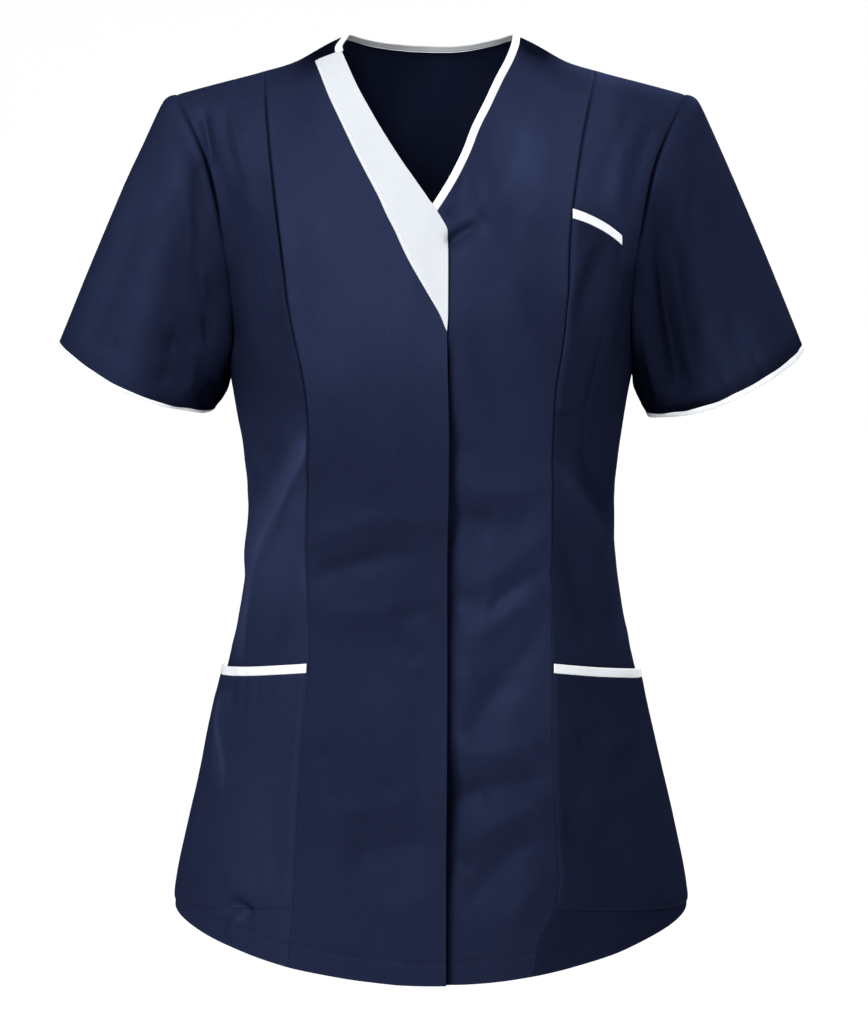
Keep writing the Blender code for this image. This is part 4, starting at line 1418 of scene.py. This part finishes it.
def add_sleeve(hand, label, navy, white):
    around = np.linspace(0.0, 2 * math.pi, SLEEVE_COLUMNS, endpoint=False)
    smooth = sleeve_point(hand, around, np.linspace(0, 1, 80))
    middle = reach(smooth[:, SLEEVE_COLUMNS // 4], 0)
    along = spaced(middle[-1:], SEAM_STEPS, FREE_STEPS, ROW_STEP)[0] / middle[-1]
    along = np.clip(along, 0.0, 1.0)
    points, normals = sleeve_skin(hand, around, along)
    down = reach(points, 0)
    girth = np.linspace(0.0, 2 * math.pi * SLEEVE_MAP_RADIUS, len(around) + 1)
    grid = {
        "points": points,
        "normals": normals,
        "start": down,
        "end": down[-1] - down,
        "cloth": np.stack(np.meshgrid(girth, along * SLEEVE_MAP_LENGTH), axis=-1),
        "closed": True,
    }
    seam_z = points[:1, :, 2]
    tuck = np.clip(1 - down / SLEEVE_TUCK_ROLL, 0.0, 1.0) ** 2
    ring = wave_height(PUCKER_WAVES, 0.0, around * SLEEVE_GIRTH_RADIUS)
    ring = ring * beside_crown(around, CROWN_SEAM_CALM)
    near_ends = np.exp(-down / PUCKER_REACH) + np.exp(-grid["end"] / PUCKER_REACH)
    outer = OUTER - SLEEVE_TUCK_DIP * tuck * (0.5 + 0.5 * armhole_depth(seam_z))
    outer = outer + PUCKER * ring * near_ends
    # Painted shade on the sleeve, with the armhole's painted crease shade on its front half
    shade = sleeve_shade(hand, around[None, :], along[:, None])
    shade = shade + armhole_shade(down, seam_z) * (around < math.pi)
    sleeve = add_shell(f"sleeve_{label}_cloth", grid, outer, CLOTH, navy, shade)

    width = SLEEVE_BINDING_WIDTH if hand == LEFT else SLEEVE_BINDING_ROLLED
    grid = strip_grid(points[-1], normals[-1], unit(points[-1] - points[-6]), width, True)
    outer = STRIP_HEIGHT - SLEEVE_BINDING_GROOVE * bump(grid["start"], *BINDING_STITCH)
    binding = add_shell(f"sleeve_binding_{label}_cloth", grid, outer, BINDING_CLOTH, white)
    return sleeve, binding


# Stitching


class Thread:
    """Many small stitches gathered in one mesh."""

    LENGTH = 2.4 * MM
    SPACE = 0.7 * MM
    RADIUS = 0.17 * MM
    END_RADIUS = 0.55
    BOW = 0.14 * MM
    SINK = 0.6
    SIDES = 6
    RINGS = 5

    def __init__(self):
        self.points = []
        self.faces = []

    def sew(self, path, normals):
        """Stitches along a path, each dipping into the cloth at its ends."""
        run = reach(path, 0)
        pitch = self.LENGTH + self.SPACE
        starts = np.arange(self.SPACE, run[-1] - self.LENGTH, pitch)
        share = np.linspace(0.0, 1.0, self.RINGS)
        angle = np.linspace(0.0, 2 * math.pi, self.SIDES, endpoint=False)
        for start in starts:
            at = start + self.LENGTH * share
            centre = resampled(path, run, at)
            up = unit(resampled(normals, run, at))
            ahead = unit(np.gradient(centre, axis=0))
            aside = unit(np.cross(ahead, up))
            bow = np.sin(math.pi * share)
            centre = centre + up * (self.BOW * (bow - self.SINK))[:, None]
            radius = self.RADIUS * (self.END_RADIUS + (1 - self.END_RADIUS) * bow)
            ring = (
                aside[:, None] * np.cos(angle)[None, :, None]
                + up[:, None] * np.sin(angle)[None, :, None]
            )
            self.add_tube(centre[:, None] + ring * radius[:, None, None])

    def add_tube(self, rings):
        base = sum(len(points) for points in self.points)
        ids = base + np.arange(rings.shape[0] * rings.shape[1]).reshape(rings.shape[:2])
        wrapped = np.concatenate([ids, ids[:, :1]], axis=1)
        self.points.append(rings.reshape(-1, 3))
        self.faces.extend(grid_faces(wrapped, False).tolist())
        self.faces.append(ids[0].tolist())
        self.faces.append(ids[-1][::-1].tolist())

    def finish(self, name, material):
        mesh = bpy.data.meshes.new(name)
        mesh.from_pydata(np.concatenate(self.points).tolist(), [], self.faces)
        return add_object(name, mesh, material)


def raised(side, turn, rise, height, lift):
    """Points at a height over the body, and their outward directions."""
    points, normals = body_skin(side, turn, rise)
    height = height + lift(points[..., 0], points[..., 2])
    return points + normals * height[..., None], normals


def front_line(x, z, lift):
    """A stitched line on the front, through places given by x and z."""
    turn = turn_at(x, z)
    return raised(FRONT, turn, rise_at(turn, z), OUTER, lift)


def hem_line(side, low, high, lift):
    """The hem's stitching between two turns."""
    turn = np.linspace(low, high, 200)
    rise = HEM_BAND / (top_z(turn) - hem_z(turn))
    return raised(side, turn, rise, OUTER - HEM_STITCH_SINK, lift)


def add_stitches(navy_thread, white_thread):
    navy = Thread()
    down = np.linspace(PLACKET_TOP_Z, PLACKET_FOOT_Z, 400)
    navy.sew(*front_line(np.full(400, PLACKET_STITCH_X), down, front_lift))
    across = np.linspace(*PLACKET_TOP_STITCH_X, 30)
    navy.sew(*front_line(across, np.full(30, PLACKET_TOP_Z), front_lift))
    edge = float(turn_at(*HEM_STITCH_PARTING))
    navy.sew(*hem_line(FRONT, -QUARTER + HEM_STITCH_END, edge, front_lift))
    navy.sew(*hem_line(FRONT, edge + 0.02, QUARTER - HEM_STITCH_END, plain))
    navy.sew(*hem_line(BACK, -QUARTER + HEM_STITCH_END, QUARTER - HEM_STITCH_END, plain))
    bottom = POCKET_BOTTOM_Z - POCKET_MOUTH_INNER_Z
    shares = np.linspace(0.0, 1.0, 120)
    for hand in (RIGHT, LEFT):
        foot = np.full(120, POCKET_STITCH_FOOT_SHARE)
        points, normals = pocket_skin(hand, 0.0, bottom)(shares, foot)
        navy.sew(points + normals * (OUTER + LAYER - POCKET_STITCH_SINK), normals)
    side = np.full(120, BREAST_STITCH_SIDE_SHARE)
    foot = np.full(120, BREAST_STITCH_FOOT_SHARE)
    for across, along in ((side, shares), (shares, foot)):
        points, normals = patch_skin(BREAST_POCKET)(across, along)
        navy.sew(points + normals * (OUTER + LAYER - BREAST_STITCH_SINK), normals)

    white = Thread()
    side = np.full(300, LAPEL_STITCH_SHARE)
    points, normals = patch_skin(LAPEL)(side, np.linspace(0.1, 0.985, 300))
    height = OUTER + LAYER - LAPEL_STITCH_SINK + placket_lift(points[:, 0], points[:, 2])
    white.sew(points + normals * height[:, None], normals)
    return navy.finish("stitches_navy", navy_thread), white.finish("stitches_white", white_thread)


# Materials


def add_node(tree, kind, inputs=None, **settings):
    node = tree.nodes.new(kind)
    for name, value in settings.items():
        setattr(node, name, value)
    for name, value in (inputs or {}).items():
        if isinstance(value, bpy.types.NodeSocket):
            tree.links.new(value, node.inputs[name])
        else:
            node.inputs[name].default_value = value
    return node


def blended(tree, factor, first, second):
    """A colour between two others."""
    mix = add_node(tree, "ShaderNodeMix", {0: factor, 6: first, 7: second}, data_type="RGBA")
    return mix.outputs[2]


def new_material(name):
    material = bpy.data.materials.new(name)
    material.use_nodes = True
    return material, material.node_tree, material.node_tree.nodes["Principled BSDF"]


def combine(tree, operation, first, second, clamp=False):
    inputs = {0: first, 1: second}
    node = add_node(tree, "ShaderNodeMath", inputs, operation=operation, use_clamp=clamp)
    return node.outputs[0]


def noise(tree, place, scale, detail):
    inputs = {"Vector": place, "Scale": scale, "Detail": detail}
    return add_node(tree, "ShaderNodeTexNoise", inputs).outputs["Fac"]


def relief(tree, height, strength, distance, under=None):
    """A fine relief of the surface, over another one where that is given."""
    inputs = {"Height": height, "Strength": strength, "Distance": distance}
    if under:
        inputs["Normal"] = under
    return add_node(tree, "ShaderNodeBump", inputs).outputs["Normal"]


def spread(tree, value, **limits):
    """A value spread over another range."""
    inputs = {name.replace("_", " "): limit for name, limit in limits.items()}
    return add_node(tree, "ShaderNodeMapRange", {"Value": value, **inputs}).outputs[0]


def stored(tree, name):
    """A value that the shells keep for each point."""
    return add_node(tree, "ShaderNodeAttribute", attribute_name=name).outputs["Fac"]


def solid(colour, factor=1.0):
    return (*(factor * part for part in colour), 1.0)


def cloth_material(name, dark, light, worn, roughness, weave_depth, gloss=None):
    """Plain-woven cloth: threads, slubs and slow changes of tone, paler worn edges, and the stored
    painted shade and painted highlights.
    """
    material, tree, shader = new_material(name)
    cloth = add_node(tree, "ShaderNodeUVMap", uv_map="cloth").outputs["UV"]
    place = add_node(tree, "ShaderNodeTexCoord").outputs["Object"]
    thread_scale = 2 * math.pi / (20 * THREAD_PITCH)
    warp, weft = (
        add_node(tree, "ShaderNodeTexWave", {"Vector": cloth, "Scale": thread_scale},
                 bands_direction=direction).outputs["Fac"]
        for direction in "XY"
    )
    threads = combine(tree, "MULTIPLY", warp, weft)
    stretched = add_node(tree, "ShaderNodeMapping", {"Vector": cloth, "Scale": (1.0, 0.22, 1.0)})
    slubs = noise(tree, stretched.outputs["Vector"], 620.0, 3.0)
    tone = noise(tree, place, 9.0, 2.0)

    share = spread(tree, combine(tree, "ADD", slubs, tone), From_Min=0.62, From_Max=1.38)
    colour = blended(tree, share, solid(dark), solid(light))
    wear = combine(tree, "MULTIPLY", stored(tree, "wear"), WORN_SHARE)
    colour = blended(tree, wear, colour, solid(worn))
    # The shade attribute darkens the colour as painted shade; below 0 it lightens it as a painted
    # highlight
    shade = combine(tree, "MULTIPLY", stored(tree, "shade"), SHADE_SHARE, clamp=True)
    painted_highlight = combine(tree, "MULTIPLY", stored(tree, "shade"), -1.0, clamp=True)
    colour = blended(tree, shade, colour, solid(dark, SHADE_DEPTH))
    colour = blended(tree, painted_highlight, colour, solid(light, HIGHLIGHT_GAIN))
    tree.links.new(colour, shader.inputs["Base Color"])
    rough = spread(tree, slubs, To_Min=roughness - 0.06, To_Max=roughness + 0.08)
    tree.links.new(rough, shader.inputs["Roughness"])
    shader.inputs["Specular IOR Level"].default_value = 0.0

    crumpled = relief(tree, noise(tree, place, 70.0, 3.0), 0.35, 0.5 * MM)
    uneven = relief(tree, slubs, 0.5, 0.06 * MM, crumpled)
    woven = relief(tree, threads, 0.6, weave_depth, uneven)
    tree.links.new(woven, shader.inputs["Normal"])
    if gloss:
        # The gloss lobe's colour is dimmed by the same painted shade
        sheen = blended(tree, shade, solid(gloss), solid(gloss, SHADE_GLOSS))
        lobe = add_node(tree, "ShaderNodeBsdfAnisotropic", {
            "Color": sheen, "Roughness": GLOSS_ROUGHNESS, "Normal": woven})
        both = add_node(tree, "ShaderNodeAddShader", {
            0: shader.outputs["BSDF"], 1: lobe.outputs["BSDF"]})
        tree.links.new(both.outputs[0], tree.nodes["Material Output"].inputs["Surface"])
    return material


def thread_material(name, colour):
    """Spun thread with a fine twist."""
    material, tree, shader = new_material(name)
    place = add_node(tree, "ShaderNodeTexCoord").outputs["Object"]
    twist = noise(tree, place, 2500.0, 2.0)
    mixed = blended(tree, twist, solid(colour), solid(colour, 1.25))
    tree.links.new(mixed, shader.inputs["Base Color"])
    shader.inputs["Roughness"].default_value = 0.55
    shader.inputs["Specular IOR Level"].default_value = 0.05
    tree.links.new(relief(tree, twist, 0.4, 0.05 * MM), shader.inputs["Normal"])
    return material


# Floor, light and camera


def add_stage():
    bpy.ops.mesh.primitive_circle_add(
        vertices=96, radius=FLOOR_RADIUS, fill_type="NGON", location=(0.0, 0.0, FLOOR_Z))
    floor = bpy.context.object
    floor.name = "floor"
    material, _, shader = new_material("pale_floor")
    shader.inputs["Base Color"].default_value = (0.92, 0.92, 0.92, 1.0)
    shader.inputs["Roughness"].default_value = 0.9
    floor.data.materials.append(material)


def place_facing(name, data, place, aim):
    """A lamp or camera at a place, turned towards another."""
    thing = bpy.data.objects.new(name, data)
    thing.location = place
    thing.rotation_euler = (Vector(aim) - Vector(place)).to_track_quat("-Z", "Y").to_euler()
    bpy.context.scene.collection.objects.link(thing)
    return thing


def add_lights():
    world = bpy.data.worlds.new("studio")
    world.use_nodes = True
    background = world.node_tree.nodes["Background"]
    background.inputs["Color"].default_value = (0.97, 0.985, 1.0, 1.0)
    background.inputs["Strength"].default_value = WORLD_STRENGTH
    bpy.context.scene.world = world
    for name, strength, softness, place in (
        ("key", 2.9, 14, (-0.36, -0.76, 0.80)),
        ("back_light", 2.0, 26, (0.62, 0.56, 0.70)),
    ):
        light = bpy.data.lights.new(name, "SUN")
        light.energy = strength
        light.angle = math.radians(softness)
        place_facing(name, light, place, (0.0, 0.0, 0.0))

    for name, power, place, aim in (
        ("softbox", 9.0, (-0.25, -1.05, 0.55), (-0.02, -0.12, -0.16)),
        ("back_softbox", 20.0, (0.62, 1.00, 0.66), (0.00, 0.10, -0.30)),
    ):
        light = bpy.data.lights.new(name, "AREA")
        light.shape = "DISK"
        light.size = SOFTBOX_SIZE
        light.energy = power
        place_facing(name, light, place, aim).visible_camera = False


def add_camera():
    """The photo's view: from straight in front and a little above, down to the waist."""
    data = bpy.data.cameras.new("camera")
    data.sensor_width = CAMERA_SENSOR
    data.lens = CAMERA_LENS
    bpy.context.scene.camera = place_facing("camera", data, CAMERA_PLACE, CAMERA_AIM)
    bpy.context.scene.view_settings.view_transform = "Standard"


NAVY = cloth_material("navy_cloth_look", (0.0080, 0.0110, 0.0286), (0.0119, 0.0160, 0.0390),
                      (0.0147, 0.0196, 0.0454), 0.58, 0.10 * MM, (0.0034, 0.0046, 0.0108))
WHITE = cloth_material("white_cloth_look", (0.44, 0.465, 0.495), (0.49, 0.51, 0.54),
                       (0.53, 0.55, 0.58), 0.66, 0.08 * MM)
WHITE_TAPE = cloth_material("white_tape_look", (0.64, 0.66, 0.69), (0.70, 0.72, 0.75),
                            (0.76, 0.77, 0.79), 0.62, 0.06 * MM)
NAVY_THREAD = thread_material("navy_thread", (0.0105, 0.0135, 0.0370))
WHITE_THREAD = thread_material("white_thread", (0.72, 0.74, 0.78))


def dress():
    """Makes every piece, ties each to the root, and hides the construction's part that it stands
    for.
    """
    made = add_fronts(NAVY)
    made["back"] = add_back(NAVY)
    made["lapel"] = add_lapel(WHITE)
    made["neck_binding"] = add_neck_binding(WHITE_TAPE)
    made["breast_pocket"], made["breast_pocket_binding"] = add_breast_pocket(NAVY, WHITE_TAPE)
    for hand, label in ((RIGHT, "right"), (LEFT, "left")):
        sleeve, binding = add_sleeve(hand, label, NAVY, WHITE_TAPE)
        made["sleeve_" + label], made["sleeve_binding_" + label] = sleeve, binding
        pocket, binding = add_lower_pocket(hand, label, NAVY, WHITE_TAPE)
        made["lower_pocket_" + label], made["lower_pocket_binding_" + label] = pocket, binding
    for node, piece in made.items():
        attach(piece, "root")
        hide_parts(node)
    for piece, slot in zip(add_stitches(NAVY_THREAD, WHITE_THREAD), ("navy_cloth", "white_cloth")):
        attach(piece, "root")
    return made


add_camera()
add_lights()
add_stage()
dress()
